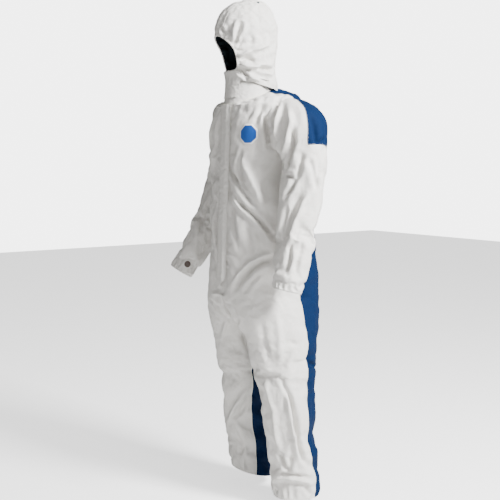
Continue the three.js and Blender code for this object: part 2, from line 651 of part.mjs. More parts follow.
// Where the blue panel starts, round from the front: on the shoulder's top, then further forward.
const blueStart = (v) => radians(THREE.MathUtils.lerp(94, 58, THREE.MathUtils.clamp((v - 1.6) / 2.2, 0, 1)));
for (const [side, name] of SIDES) {
  const stations = side > 0 ? LEFT_SLEEVE : RIGHT_SLEEVE;
  const sleeve = limb(stations, side);
  const end = stations.length - 1;
  const capRows = [0, 1, 2, ...steps(2.25, 4, 7)];
  const shirt = (from, to, count) => (v) => steps(from(v), to(v), count);
  const armpitSeam = () => -Math.PI / 2;
  const armpitBack = () => (3 * Math.PI) / 2;
  add(`${name}_sleeve_cap`, sheet(sleeve, capRows, shirt(armpitSeam, blueStart, 10)), WHITE);
  add(`${name}_shoulder_panel`, sheet(sleeve, capRows, shirt(blueStart, armpitBack, 13)), BLUE);
  const closed = { closed: true };
  add(`${name}_upper_sleeve`, sheet(sleeve, steps(4, ARM_BAND, 2), whole(), closed), WHITE);
  add(`${name}_elbow`, sheet(sleeve, steps(ARM_BAND, ARM_BAND + 1, 4), whole(), closed), WHITE);
  add(`${name}_forearm`, sheet(sleeve, steps(ARM_BAND + 1, end, 6), whole(), closed), WHITE);
  const pace = sleeve.at(end - 0.5, 0).distanceTo(sleeve.at(end, 0)) * 2;
  add(
    `${name}_cuff_elastic`,
    sheet(sleeve, [end - (CUFF_ELASTIC + 2) / pace, end - 2 / pace], whole(), {
      closed: true,
      inset: WALL + INNER_GAP / 2,
      wall: ELASTIC_WALL,
    }),
    ELASTIC,
  );
}

// ---- Trouser legs: a half of the torso's lowest ring at the crotch, round lower down ----
const LEG = [
  { x: 95, y: 24, z: 660, half: 92, depth: 183, turn: 90, lean: 0, crotch: 1 },
  { x: 99, y: 26, z: 590, half: 96, depth: 154, turn: 90, lean: 0, crotch: 0.5 },
  { x: 105, y: 31, z: 510, half: 97, depth: 132, turn: 90, lean: 0, crotch: 0 },
  { x: 111, y: 34, z: 430, half: 94, depth: 117, turn: 90, lean: 0, crotch: 0 },
  { x: 116, y: 39, z: 350, half: 91, depth: 106, turn: 90, lean: 0, crotch: 0 },
  { x: 123, y: 52, z: 200, half: 84, depth: 93, turn: 90, lean: 0, crotch: 0 },
  { x: 128, y: 66, z: 70, half: 80, depth: 86, turn: 90, lean: 0, crotch: 0 },
  { x: 130, y: 71, z: -38, half: 77, depth: 83, turn: 90, lean: 0, crotch: 0 },
];
const CROTCH_GAP = 3; // from the middle to each leg's inner side
const OUTER_SEAM = radians(107);
const INNER_SEAM = radians(-63);
// How far the torso's lowest ring, closed by a straight inner side, is from a leg's middle.
function crotchReach(u) {
  const [ring, top] = [TORSO[0], LEG[0]];
  const near = frontY(ring.front);
  const depth = (ring.back - near) / 2;
  let [low, high] = [0, 400];
  for (let i = 0; i < 30; i++) {
    const t = (low + high) / 2;
    const x = top.x + t * Math.sin(u);
    const y = top.y - t * Math.cos(u) - (near + depth);
    const inside = x > CROTCH_GAP && Math.abs(x / ring.half) ** ring.power + Math.abs(y / depth) ** ring.power < 1;
    if (inside) low = t;
    else high = t;
  }
  return low;
}
const legTube = (side) => ({
  middle(v) {
    const ring = between(LEG, v);
    return new THREE.Vector3(side * ring.x, ring.y, ring.z);
  },
  at(v, u) {
    const ring = between(LEG, v);
    const crotch = THREE.MathUtils.clamp(ring.crotch, 0, 1);
    const [x, y] = oval(ring.half, ring.depth, 2, u);
    const reach = THREE.MathUtils.lerp(Math.hypot(x, y), crotchReach(u), crotch);
    const across = Math.max(ring.x + reach * Math.sin(u), CROTCH_GAP);
    return new THREE.Vector3(side * across, ring.y - reach * Math.cos(u), ring.z);
  },
});
const HIP_TRIM = 0.2 * WALL; // the legs meet the torso at an angle, so a thicker wall needs a wider seam
const LEG_PARTS = [
  ["hip", steps(0, 1, 3)],
  ["thigh", steps(1, 2, 2)],
  ["knee", steps(2, 4, 5)],
  ["shin", steps(4, LEG.length - 1, 7)],
];
const frontAngles = steps(INNER_SEAM, OUTER_SEAM, 11);
const backAngles = steps(OUTER_SEAM, INNER_SEAM + 2 * Math.PI, 12);
for (const [side, name] of SIDES) {
  const leg = legTube(side);
  for (const [part, rows] of LEG_PARTS) {
    const edges = { trim: part === "hip" ? HIP_TRIM : SEAM / 2 };
    add(`${name}_${part}_front`, sheet(leg, rows, frontAngles, edges), WHITE);
    add(`${name}_${part}_back`, sheet(leg, rows, backAngles, edges), BLUE);
  }
  const end = LEG.length - 1;
  const rows = [ANKLE_ELASTIC + 3, 3].map((z) => end - z / (LEG[end - 1].z - LEG[end].z));
  const inside = { closed: true, inset: WALL + INNER_GAP / 2, wall: ELASTIC_WALL };
  add(`${name}_ankle_elastic`, sheet(leg, rows, [...frontAngles, ...backAngles.slice(1)], inside), ELASTIC);
}

// ---- Badge on the left of the chest, and the round patch by the right cuff ----
// A group lying on a tube at (v, u), whose +z points out of it and whose y runs up it.
function onTube(tube, v, u, clear) {
  const group = new THREE.Group();
  const out = outward(tube, v, u);
  const up = new THREE.Vector3(0, 0, 1).addScaledVector(out, -out.z).normalize();
  const across = new THREE.Vector3().crossVectors(up, out);
  group.quaternion.setFromRotationMatrix(new THREE.Matrix4().makeBasis(across, up, out));
  group.position.copy(tube.at(v, u)).addScaledVector(out, clear);
  suit.add(group);
  return group;
}
const badgePlace = placeAt(torso, BADGE_HEIGHT, 0, 8, frontAngle(6, BADGE_X));
const badge = new THREE.CylinderGeometry(BADGE_ACROSS / 2, BADGE_ACROSS / 2, BADGE_DEPTH, 8);
badge.scale(1 / Math.cos(Math.PI / 8), 1, 1 / Math.cos(Math.PI / 8));
badge.rotateY(Math.PI / 8);
badge.rotateX(Math.PI / 2);
badge.translate(0, 0, BADGE_DEPTH / 2);
add("chest_badge", badge, BADGE, onTube(torso, badgePlace, frontAngle(badgePlace, BADGE_X), SEAM));
const patch = new THREE.CylinderGeometry(PATCH_RADIUS, PATCH_RADIUS, PATCH_DEPTH, 24);
patch.rotateX(Math.PI / 2);
patch.translate(0, 0, PATCH_DEPTH / 2);
add("wrist_patch", patch, GREY, onTube(limb(RIGHT_SLEEVE, -1), 8.6, radians(-70), SEAM));

suit.updateMatrixWorld(true);
export default suit;
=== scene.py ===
# A hooded chemical protective coverall of white nonwoven fabric with a blue back, worn by nobody.
# Sizes are worked out in millimetres above the trouser hems' datum, and placed in the frame's
# metres by `placed`.
import json
import math
import bmesh
import bpy
import numpy as np
from mathutils import Vector, noise
from mathutils.bvhtree import BVHTree
from mathutils.kdtree import KDTree
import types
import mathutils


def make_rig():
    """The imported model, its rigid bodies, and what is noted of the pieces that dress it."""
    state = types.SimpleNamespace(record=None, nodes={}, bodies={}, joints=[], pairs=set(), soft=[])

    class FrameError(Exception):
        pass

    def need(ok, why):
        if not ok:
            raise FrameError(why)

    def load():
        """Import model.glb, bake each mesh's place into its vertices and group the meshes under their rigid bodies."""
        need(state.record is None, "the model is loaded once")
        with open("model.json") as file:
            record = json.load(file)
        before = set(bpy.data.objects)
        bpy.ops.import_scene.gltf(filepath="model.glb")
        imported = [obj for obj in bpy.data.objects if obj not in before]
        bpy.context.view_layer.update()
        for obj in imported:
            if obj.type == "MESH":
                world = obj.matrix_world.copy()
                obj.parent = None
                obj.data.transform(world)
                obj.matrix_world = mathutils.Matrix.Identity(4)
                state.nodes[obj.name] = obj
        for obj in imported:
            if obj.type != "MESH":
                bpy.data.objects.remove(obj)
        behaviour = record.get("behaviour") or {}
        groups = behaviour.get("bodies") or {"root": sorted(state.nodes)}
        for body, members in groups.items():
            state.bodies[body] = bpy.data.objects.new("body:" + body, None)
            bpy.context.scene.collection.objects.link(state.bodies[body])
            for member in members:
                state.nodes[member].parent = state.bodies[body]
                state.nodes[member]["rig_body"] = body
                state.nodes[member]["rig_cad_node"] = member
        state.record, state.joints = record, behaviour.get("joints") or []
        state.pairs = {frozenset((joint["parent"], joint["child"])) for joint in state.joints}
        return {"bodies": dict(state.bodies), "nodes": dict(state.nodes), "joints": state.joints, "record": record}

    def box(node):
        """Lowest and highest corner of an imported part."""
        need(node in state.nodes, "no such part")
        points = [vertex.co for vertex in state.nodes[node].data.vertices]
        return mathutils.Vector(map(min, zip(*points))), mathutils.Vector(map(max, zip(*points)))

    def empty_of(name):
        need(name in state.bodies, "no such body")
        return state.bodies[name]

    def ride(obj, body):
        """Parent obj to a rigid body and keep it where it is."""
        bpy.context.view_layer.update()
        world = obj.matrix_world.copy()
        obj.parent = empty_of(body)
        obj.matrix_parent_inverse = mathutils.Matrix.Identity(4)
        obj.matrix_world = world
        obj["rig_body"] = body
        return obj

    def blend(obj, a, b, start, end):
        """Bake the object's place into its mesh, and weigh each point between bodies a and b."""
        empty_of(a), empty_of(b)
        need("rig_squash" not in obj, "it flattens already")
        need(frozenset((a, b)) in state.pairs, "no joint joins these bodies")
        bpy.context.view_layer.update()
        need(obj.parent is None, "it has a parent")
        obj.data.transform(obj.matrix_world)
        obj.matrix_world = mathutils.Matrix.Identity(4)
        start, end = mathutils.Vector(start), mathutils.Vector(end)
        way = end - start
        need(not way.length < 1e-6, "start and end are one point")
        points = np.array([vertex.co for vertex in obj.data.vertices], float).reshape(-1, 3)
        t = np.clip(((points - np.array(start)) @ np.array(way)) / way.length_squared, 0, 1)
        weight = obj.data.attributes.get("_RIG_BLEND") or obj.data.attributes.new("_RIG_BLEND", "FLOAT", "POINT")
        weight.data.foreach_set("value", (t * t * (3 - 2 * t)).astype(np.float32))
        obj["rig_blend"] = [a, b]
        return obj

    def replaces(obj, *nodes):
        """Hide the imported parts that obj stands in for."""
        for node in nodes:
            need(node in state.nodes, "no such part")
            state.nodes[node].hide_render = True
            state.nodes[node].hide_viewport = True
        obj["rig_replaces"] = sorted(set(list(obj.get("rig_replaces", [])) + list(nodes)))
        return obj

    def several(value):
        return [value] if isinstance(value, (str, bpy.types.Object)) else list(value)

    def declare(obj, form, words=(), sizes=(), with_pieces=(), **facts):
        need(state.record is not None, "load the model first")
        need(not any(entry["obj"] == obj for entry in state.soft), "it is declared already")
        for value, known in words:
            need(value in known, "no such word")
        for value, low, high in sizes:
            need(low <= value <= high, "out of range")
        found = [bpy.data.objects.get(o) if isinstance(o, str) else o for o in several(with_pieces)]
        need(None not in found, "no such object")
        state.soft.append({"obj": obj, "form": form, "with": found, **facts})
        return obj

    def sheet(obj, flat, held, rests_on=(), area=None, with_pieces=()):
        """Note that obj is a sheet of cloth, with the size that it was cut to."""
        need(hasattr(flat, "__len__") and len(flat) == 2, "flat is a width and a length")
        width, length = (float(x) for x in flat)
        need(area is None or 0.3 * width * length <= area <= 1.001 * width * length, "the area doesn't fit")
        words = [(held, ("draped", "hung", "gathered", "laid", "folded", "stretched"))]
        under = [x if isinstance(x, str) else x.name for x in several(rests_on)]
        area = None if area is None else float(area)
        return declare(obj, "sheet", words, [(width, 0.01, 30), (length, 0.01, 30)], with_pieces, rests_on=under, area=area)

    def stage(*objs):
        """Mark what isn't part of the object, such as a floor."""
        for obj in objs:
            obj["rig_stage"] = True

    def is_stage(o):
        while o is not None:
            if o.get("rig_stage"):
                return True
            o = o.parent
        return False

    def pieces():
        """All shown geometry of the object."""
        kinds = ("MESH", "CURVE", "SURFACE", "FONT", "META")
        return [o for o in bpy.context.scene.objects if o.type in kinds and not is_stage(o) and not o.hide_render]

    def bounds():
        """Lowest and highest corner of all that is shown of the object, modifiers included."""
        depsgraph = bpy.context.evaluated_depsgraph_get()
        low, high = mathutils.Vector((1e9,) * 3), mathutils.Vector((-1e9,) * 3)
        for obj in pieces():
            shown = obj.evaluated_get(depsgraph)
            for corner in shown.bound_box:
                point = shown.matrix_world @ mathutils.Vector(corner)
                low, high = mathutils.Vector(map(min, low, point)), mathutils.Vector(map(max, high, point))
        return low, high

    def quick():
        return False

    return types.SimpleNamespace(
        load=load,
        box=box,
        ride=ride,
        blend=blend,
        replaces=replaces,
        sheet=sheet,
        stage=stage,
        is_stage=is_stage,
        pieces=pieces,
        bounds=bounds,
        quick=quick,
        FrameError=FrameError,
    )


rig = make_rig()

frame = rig.load()
cad_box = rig.bounds()

NECK_SEAM = np.array([0.0, -35.0, 1356.0])  # the frame's origin


def placed(points):
    return (np.asarray(points, float) - NECK_SEAM) / 1000.0


# ---- Camera, light and floor ----
def camera_and_light():
    azimuth = math.radians(54)
    distance, height = 3.3, 1130.0
    lens = bpy.data.cameras.new("camera")
    lens.sensor_width = 36
    lens.lens = 66.4
    lens.shift_x, lens.shift_y = -0.016, -0.18
    lens.clip_end = 50
    camera = bpy.data.objects.new("camera", lens)
    bpy.context.scene.collection.objects.link(camera)
    x, y = distance * math.sin(azimuth), -distance * math.cos(azimuth)
    camera.location = (x, y + 0.035, (height - NECK_SEAM[2]) / 1000)
    camera.rotation_euler = (math.radians(90), 0, azimuth)
    bpy.context.scene.camera = camera

    floor_mesh = bpy.data.meshes.new("floor")
    low = (-75 - NECK_SEAM[2]) / 1000
    floor_mesh.from_pydata([(-9, -9, low), (9, -9, low), (9, 9, low), (-9, 9, low)], [], [(0, 1, 2, 3)])
    floor = bpy.data.objects.new("floor", floor_mesh)
    bpy.context.scene.collection.objects.link(floor)
    paper = plain("floor_paper", (0.9, 0.9, 0.9), 0.9)
    paper.node_tree.nodes["Principled BSDF"].inputs["Emission Color"].default_value = (1, 1, 1, 1)
    looked_at = paper.node_tree.nodes.new("ShaderNodeLightPath").outputs["Is Camera Ray"]
    glow = math_node(paper.node_tree, "MULTIPLY", looked_at, 1.5)  # seen pale, but lights nothing
    paper.node_tree.links.new(glow, paper.node_tree.nodes["Principled BSDF"].inputs["Emission Strength"])
    floor.data.materials.append(paper)
    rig.stage(floor)

    def area(name, place, target, size, watts):
        data = bpy.data.lights.new(name, "AREA")
        data.shape, data.size, data.size_y, data.energy = "RECTANGLE", size[0], size[1], watts
        lamp = bpy.data.objects.new(name, data)
        lamp.location = place
        lamp.rotation_euler = (Vector(target) - Vector(place)).to_track_quat("-Z", "Y").to_euler()
        bpy.context.scene.collection.objects.link(lamp)

    area("key_softbox", (3.0, 0.8, 1.5), (0, 0, -0.3), (0.8, 1.2), 520)
    area("front_softbox", (-0.6, -3.4, 1.0), (0, 0, -0.5), (1.2, 1.8), 8)
    area("top_softbox", (1.5, -0.3, 2.7), (0, 0, -0.3), (1.2, 1.2), 50)
    world = bpy.data.worlds.new("studio")
    world.use_nodes = True
    tree = world.node_tree
    light = tree.nodes["Background"]
    light.inputs[0].default_value = (1, 0.99, 0.97, 1)
    light.inputs[1].default_value = 0.17
    paper = tree.nodes.new("ShaderNodeBackground")
    paper.inputs[0].default_value = (1, 1, 1, 1)
    paper.inputs[1].default_value = 5.0
    seen = tree.nodes.new("ShaderNodeLightPath")
    either = tree.nodes.new("ShaderNodeMixShader")
    tree.links.new(seen.outputs["Is Camera Ray"], either.inputs[0])
    tree.links.new(light.outputs[0], either.inputs[1])
    tree.links.new(paper.outputs[0], either.inputs[2])
    tree.links.new(either.outputs[0], tree.nodes["World Output"].inputs["Surface"])
    bpy.context.scene.world = world


# ---- Materials ----
def plain(name, colour, roughness):
    material = bpy.data.materials.new(name)
    material.use_nodes = True
    shader = material.node_tree.nodes["Principled BSDF"]
    shader.inputs["Base Color"].default_value = (*colour, 1)
    shader.inputs["Roughness"].default_value = roughness
    return material


def group(name, inputs, outputs):
    tree = bpy.data.node_groups.new(name, "ShaderNodeTree")
    for label, kind, value in inputs:
        socket = tree.interface.new_socket(label, in_out="INPUT", socket_type=kind)
        socket.default_value = value
    for label, kind in outputs:
        tree.interface.new_socket(label, in_out="OUTPUT", socket_type=kind)
    return tree, tree.nodes.new("NodeGroupInput"), tree.nodes.new("NodeGroupOutput")


def math_node(tree, operation, a, b=None, clamp=False):
    node = tree.nodes.new("ShaderNodeMath")
    node.operation = operation
    node.use_clamp = clamp
    for socket, value in zip(node.inputs, (a, b)):
        if isinstance(value, (int, float)):
            socket.default_value = value
        elif value is not None:
            tree.links.new(value, socket)
    return node.outputs[0]


def nonwoven_group():
    """Flash-spun sheet: faint swirls of fibre, fine crinkles, and a mask of both."""
    tree, given, result = group(
        "nonwoven_sheet",
        [
            ("Crinkle Size", "NodeSocketFloat", 42.0),
            ("Crinkle Depth", "NodeSocketFloat", 1.0),
            ("Fibre Depth", "NodeSocketFloat", 0.3),
        ],
        [("Height", "NodeSocketFloat"), ("Mottle", "NodeSocketFloat")],
    )
    nodes, links = tree.nodes, tree.links
    place = nodes.new("ShaderNodeTexCoord").outputs["Object"]
    warp = nodes.new("ShaderNodeTexNoise")
    warp.inputs["Scale"].default_value = 26
    warp.inputs["Detail"].default_value = 3
    links.new(place, warp.inputs["Vector"])
    bend = nodes.new("ShaderNodeVectorMath")
    bend.operation = "MULTIPLY_ADD"
    links.new(warp.outputs["Color"], bend.inputs[0])
    bend.inputs[1].default_value = (0.035, 0.035, 0.035)
    links.new(place, bend.inputs[2])
    cells = nodes.new("ShaderNodeTexVoronoi")
    cells.feature = "DISTANCE_TO_EDGE"
    links.new(bend.outputs[0], cells.inputs["Vector"])
    links.new(given.outputs["Crinkle Size"], cells.inputs["Scale"])
    ridge = math_node(tree, "SUBTRACT", 0.32, cells.outputs["Distance"], clamp=True)
    folds = nodes.new("ShaderNodeTexNoise")
    folds.inputs["Scale"].default_value = 38
    folds.inputs["Detail"].default_value = 4
    folds.inputs["Distortion"].default_value = 1.2
    links.new(place, folds.inputs["Vector"])
    crinkle = math_node(tree, "MULTIPLY", ridge, folds.outputs["Fac"])
    crinkle = math_node(tree, "MULTIPLY", crinkle, given.outputs["Crinkle Depth"])
    fibres = nodes.new("ShaderNodeTexNoise")
    fibres.inputs["Scale"].default_value = 420
    fibres.inputs["Detail"].default_value = 5
    fibres.inputs["Distortion"].default_value = 2.4
    links.new(place, fibres.inputs["Vector"])
    fine = math_node(tree, "MULTIPLY", fibres.outputs["Fac"], given.outputs["Fibre Depth"])
    links.new(math_node(tree, "ADD", crinkle, fine), result.inputs["Height"])
    links.new(fibres.outputs["Fac"], result.inputs["Mottle"])
    return tree


def nonwoven(name, pale, deep, roughness, depth, crinkle, thin=0.0):
    material = bpy.data.materials.new(name)
    material.use_nodes = True
    tree = material.node_tree
    shader = tree.nodes["Principled BSDF"]
    sheet = tree.nodes.new("ShaderNodeGroup")
    sheet.node_tree = NONWOVEN
    sheet.inputs["Crinkle Depth"].default_value = crinkle
    mix = tree.nodes.new("ShaderNodeMix")
    mix.data_type = "RGBA"
    mix.inputs["A"].default_value = (*deep, 1)
    mix.inputs["B"].default_value = (*pale, 1)
    tree.links.new(sheet.outputs["Mottle"], mix.inputs["Factor"])
    tree.links.new(mix.outputs["Result"], shader.inputs["Base Color"])
    bump = tree.nodes.new("ShaderNodeBump")
    bump.inputs["Strength"].default_value = 0.6
    bump.inputs["Distance"].default_value = depth
    tree.links.new(sheet.outputs["Height"], bump.inputs["Height"])
    tree.links.new(bump.outputs["Normal"], shader.inputs["Normal"])
    shader.inputs["Roughness"].default_value = roughness
    shader.inputs["Specular IOR Level"].default_value = 0.25
    shader.inputs["Sheen Weight"].default_value = thin
    return material


def wear_group():
    """Faint uneven handling marks: one value for the finish and one height."""
    tree, given, result = group(
        "handled_surface",
        [("Speck Size", "NodeSocketFloat", 300.0), ("Amount", "NodeSocketFloat", 0.15)],
        [("Tone", "NodeSocketFloat"), ("Height", "NodeSocketFloat")],
    )
    place = tree.nodes.new("ShaderNodeTexCoord").outputs["Object"]
    specks = tree.nodes.new("ShaderNodeTexNoise")
    specks.inputs["Detail"].default_value = 4
    tree.links.new(place, specks.inputs["Vector"])
    tree.links.new(given.outputs["Speck Size"], specks.inputs["Scale"])
    tone = math_node(tree, "MULTIPLY", specks.outputs["Fac"], given.outputs["Amount"])
    tree.links.new(tone, result.inputs["Tone"])
    tree.links.new(specks.outputs["Fac"], result.inputs["Height"])
    return tree


def finish_parts(name):
    material = bpy.data.materials.new(name)
    material.use_nodes = True
    return material, material.node_tree, material.node_tree.nodes["Principled BSDF"]


def moulded(name, colour, roughness, metallic):
    material, tree, shader = finish_parts(name)
    wear = tree.nodes.new("ShaderNodeGroup")
    wear.node_tree = HANDLED
    wear.inputs["Amount"].default_value = 0.3
    mix = tree.nodes.new("ShaderNodeMix")
    mix.data_type = "RGBA"
    mix.inputs["A"].default_value = (*colour, 1)
    mix.inputs["B"].default_value = (*(0.72 * c for c in colour), 1)
    tree.links.new(wear.outputs["Tone"], mix.inputs["Factor"])
    tree.links.new(mix.outputs["Result"], shader.inputs["Base Color"])
    rough = math_node(tree, "ADD", wear.outputs["Tone"], roughness - 0.1)
    tree.links.new(rough, shader.inputs["Roughness"])
    bump = tree.nodes.new("ShaderNodeBump")
    bump.inputs["Distance"].default_value = 0.0002
    bump.inputs["Strength"].default_value = 0.3
    tree.links.new(wear.outputs["Height"], bump.inputs["Height"])
    tree.links.new(bump.outputs["Normal"], shader.inputs["Normal"])
    shader.inputs["Metallic"].default_value = metallic
    return material


def ribbed(name, pale, deep, pitch):
    """Knitted or woven narrow goods: fine upright ribs crossed by a softer weft, with painted shade in the grooves
    between them.
    """
    material, tree, shader = finish_parts(name)
    place = tree.nodes.new("ShaderNodeTexCoord").outputs["Object"]
    height = None
    for direction in ("X", "Z"):
        rib = tree.nodes.new("ShaderNodeTexWave")
        rib.bands_direction = direction
        rib.inputs["Scale"].default_value = pitch / (6.28 if direction == "X" else 9)
        rib.inputs["Distortion"].default_value = 0.6
        tree.links.new(place, rib.inputs["Vector"])
        height = rib.outputs["Fac"] if height is None else math_node(tree, "MULTIPLY", height, rib.outputs["Fac"])
    # The colour follows the rib height and is deeper in the grooves: painted shade.
    mix = tree.nodes.new("ShaderNodeMix")
    mix.data_type = "RGBA"
    mix.inputs["A"].default_value = (*deep, 1)
    mix.inputs["B"].default_value = (*pale, 1)
    tree.links.new(height, mix.inputs["Factor"])
    tree.links.new(mix.outputs["Result"], shader.inputs["Base Color"])
    bump = tree.nodes.new("ShaderNodeBump")
    bump.inputs["Distance"].default_value = 0.0006
    bump.inputs["Strength"].default_value = 0.5
    tree.links.new(height, bump.inputs["Height"])
    tree.links.new(bump.outputs["Normal"], shader.inputs["Normal"])
    shader.inputs["Roughness"].default_value = 0.8
    return material


NONWOVEN = nonwoven_group()
HANDLED = wear_group()
WHITE = nonwoven("white_nonwoven", (0.79, 0.772, 0.738), (0.69, 0.673, 0.64), 0.62, 0.008, 1.0)
BLUE = nonwoven("blue_breathable", (0.0009, 0.0128, 0.052), (0.0007, 0.0095, 0.04), 0.8, 0.004, 0.9)
BLUE.node_tree.nodes["Principled BSDF"].inputs["Specular IOR Level"].default_value = 0.1
SEAM_TAPE = nonwoven("seam_tape", (0.86, 0.84, 0.76), (0.78, 0.76, 0.69), 0.6, 0.001, 0.3)
ELASTIC = ribbed("gathered_elastic", (0.8, 0.8, 0.77), (0.6, 0.6, 0.58), 900.0)
ZIP_WEAVE = ribbed("zip_tape_weave", (0.82, 0.82, 0.8), (0.66, 0.66, 0.64), 1400.0)
ZIP_PLASTIC = moulded("zip_tooth_plastic", (0.84, 0.84, 0.82), 0.32, 0.0)
SLIDER_METAL = moulded("zip_slider_metal", (0.5, 0.5, 0.51), 0.3, 1.0)
TAPE_PAPER = moulded("adhesive_backing", (0.72, 0.7, 0.58), 0.28, 0.0)
BADGE_BLUE = moulded("label_blue", (0.003, 0.075, 0.36), 0.5, 0.0)
BADGE_WHITE = moulded("label_border", (0.96, 0.95, 0.93), 0.4, 0.0)
PATCH_GREY = moulded("patch_grey", (0.09, 0.065, 0.055), 0.55, 0.0)
THREAD = moulded("sewing_thread", (0.85, 0.84, 0.8), 0.5, 0.0)
# The inside of the hood is coloured near-black for the shade in its hollow: painted shade, not the cloth's own colour.
HOOD_SHADE_PAINT = nonwoven("dark_lining", (0.03, 0.046, 0.055), (0.02, 0.032, 0.04), 0.75, 0.002, 0.6)

# ---- The shape: the same rings as the solid model's ----
# Each torso ring: height at the front and at the back, y of the back, half its width, squareness.
TORSO = np.array(
    [
        (660, 660, 207, 186, 2.2),  # crotch
        (750, 750, 203, 186, 2.2),  # hips
        (840, 840, 188, 182, 2.3),
        (960, 960, 164, 174, 2.5),  # waist
        (1060, 1060, 152, 169, 2.8),
        (1140, 1145, 148, 167, 3.3),  # under the arms
        (1215, 1225, 146, 167, 3.5),  # chest
        (1275, 1302, 137, 167, 3.1),
        (1312, 1358, 114, 164, 2.6),  # shoulders
        (1319, 1377, 90, 149, 2.4),
        (1321, 1387, 68, 116, 2.3),
        (1324, 1392, 50, 80, 2.0),  # neck seam
    ],
    float,
)
ARMHOLE = np.array([0.0, 18.0, 1241.0])
ARMHOLE_RADIUS = 99.0


def fan_ring(turn, radius, clear, y):
    a, reach = math.radians(turn), radius + clear
    pivot = ARMHOLE[2] - ARMHOLE_RADIUS - 7
    return (178 + reach * math.sin(a), y, pivot + reach * math.cos(a), turn, 0, radius, radius)


# Each sleeve ring: x, y, z, turn (0 faces sideways, 90 hangs), lean forwards, half width, depth.
SHOULDER = [(x, ARMHOLE[1], ARMHOLE[2], 0, 0, ARMHOLE_RADIUS, ARMHOLE_RADIUS) for x in (138, 172, 188)]
SLEEVES = {
    1: np.array(
        SHOULDER
        + [
            fan_ring(36, 94, 5, 14),
            fan_ring(72, 77, 4, 8),
            (261, 2, 1085, 86, 6, 72, 73),
            (266, -29, 925, 90, 15, 65, 67),
            (272, -48, 850, 90, 15, 61, 62),
            (280, -75, 748, 90, 15, 53, 54),
            (284, -88, 700, 90, 15, 46, 48),
        ],
        float,
    ),
    -1: np.array(
        SHOULDER
        + [
            fan_ring(36, 89, 5, 28),
            fan_ring(72, 73, 4, 36),
            (256, 36, 1085, 86, -2, 70, 71),
            (265, -9, 930, 90, 26, 63, 65),
            (273, -54, 860, 90, 32, 58, 59),
            (287, -112, 764, 90, 33, 51, 51),
            (292, -136, 726, 90, 33, 44, 46),
        ],
        float,
    ),
}
# Each leg ring: x, y, z, half width, depth, and how far it takes the crotch's shape.
LEG = np.array(
    [
        (95, 24, 660, 92, 183, 1),
        (99, 26, 590, 96, 154, 0.5),
        (105, 31, 510, 97, 132, 0),
        (111, 34, 430, 94, 117, 0),
        (116, 39, 350, 91, 106, 0),
        (123, 52, 200, 84, 93, 0),
        (128, 66, 70, 80, 86, 0),
        (130, 71, -38, 77, 83, 0),
    ],
    float,
)


def front_y(z):
    """The zip is straight, so the middle of the front is a straight line."""
    return -158 + (np.asarray(z, float) - 712) / 600 * 22


def between(stations, v):
    """The stations' numbers at places v, on a smooth curve through them all."""
    v = np.asarray(v, float)
    last = len(stations) - 1
    i = np.clip(np.floor(v).astype(int), 0, last - 1)
    t = (v - i)[..., None]
    a, b, c, d = (stations[np.clip(i + k, 0, last)] for k in (-1, 0, 1, 2))
    rise, fall, slope = (c - a) / 2, (d - b) / 2, c - b
    return b + t * (rise + t * (3 * slope - 2 * rise - fall + t * (rise + fall - 2 * slope)))


def oval(half, depth, power, u):
    reach = (np.abs(np.sin(u) / half) ** power + np.abs(np.cos(u) / depth) ** power) ** (-1 / power)
    return reach * np.sin(u), -reach * np.cos(u)


def torso_at(v, u):
    ring = between(TORSO, v)
    front, rear, back, half, power = (ring[..., k] for k in range(5))
    near = front_y(front)
    depth = (back - near) / 2
    x, y = oval(half, depth, power, u)
    share = (y + depth) / (2 * depth)
    return np.stack([x, near + depth + y, front + (rear - front) * share], -1)


def sleeve_at(side, v, u):
    ring = between(SLEEVES[side], v)
    turn, lean = np.radians(ring[..., 3:4]), np.radians(ring[..., 4:5])
    zero = np.zeros_like(turn)
    down = np.concatenate([np.cos(turn), zero, -np.sin(turn)], -1)
    across = np.concatenate([np.sin(turn), zero, np.cos(turn)], -1)
    ahead = np.concatenate([zero, -np.cos(lean), zero], -1) - np.sin(lean) * down
    u = np.asarray(u, float)[..., None]
    point = ring[..., :3] + across * ring[..., 5:6] * np.sin(u) + ahead * ring[..., 6:7] * np.cos(u)
    return point * np.array([side, 1, 1])


def crotch_reach(u):
    """How far the torso's lowest ring, closed by the middle plane, is from a leg's middle."""
    near = front_y(TORSO[0, 0])
    depth, half, power = (TORSO[0, 2] - near) / 2, TORSO[0, 3], TORSO[0, 4]
    low, high = np.zeros_like(u), np.full_like(u, 400.0)
    for _ in range(30):
        t = (low + high) / 2
        x, y = LEG[0, 0] + t * np.sin(u), LEG[0, 1] - t * np.cos(u) - (near + depth)
        inside = (x > 0) & (np.abs(x / half) ** power + np.abs(y / depth) ** power < 1)
        low, high = np.where(inside, t, low), np.where(inside, high, t)
    return low


def leg_at(side, v, u):
    ring = between(LEG, v)
    x, y = oval(ring[..., 3], ring[..., 4], 2.0, u)
    crotch = np.clip(ring[..., 5], 0, 1)
    reach = np.hypot(x, y) * (1 - crotch) + crotch_reach(np.broadcast_to(u, x.shape).copy()) * crotch
    across = np.maximum(ring[..., 0] + reach * np.sin(u), 3.0 * (1 - crotch))
    return np.stack([side * across, ring[..., 1] - reach * np.cos(u), ring[..., 2]], -1)


# ---- One sewn garment mesh ----
# Labels of its panels, kept as the faces' material index until the panels are parted.
PANELS = [
    "torso_front_left", "torso_front_right", "torso_back",
    "left_sleeve_top", "left_shoulder", "left_sleeve_low",
    "right_sleeve_top", "right_shoulder", "right_sleeve_low",
    "left_leg_upper_front", "left_leg_upper_back", "left_leg_lower_front", "left_leg_lower_back",
    "right_leg_upper_front", "right_leg_upper_back", "right_leg_lower_front", "right_leg_lower_back",
    "hood_centre", "hood_left", "hood_right", "collar_left", "collar_right", "chin_flap", "storm_flap",
]
LABEL = {name: i for i, name in enumerate(PANELS)}
SIDE_SEAM = math.radians(96)
SIDES = ((1, "left"), (-1, "right"))


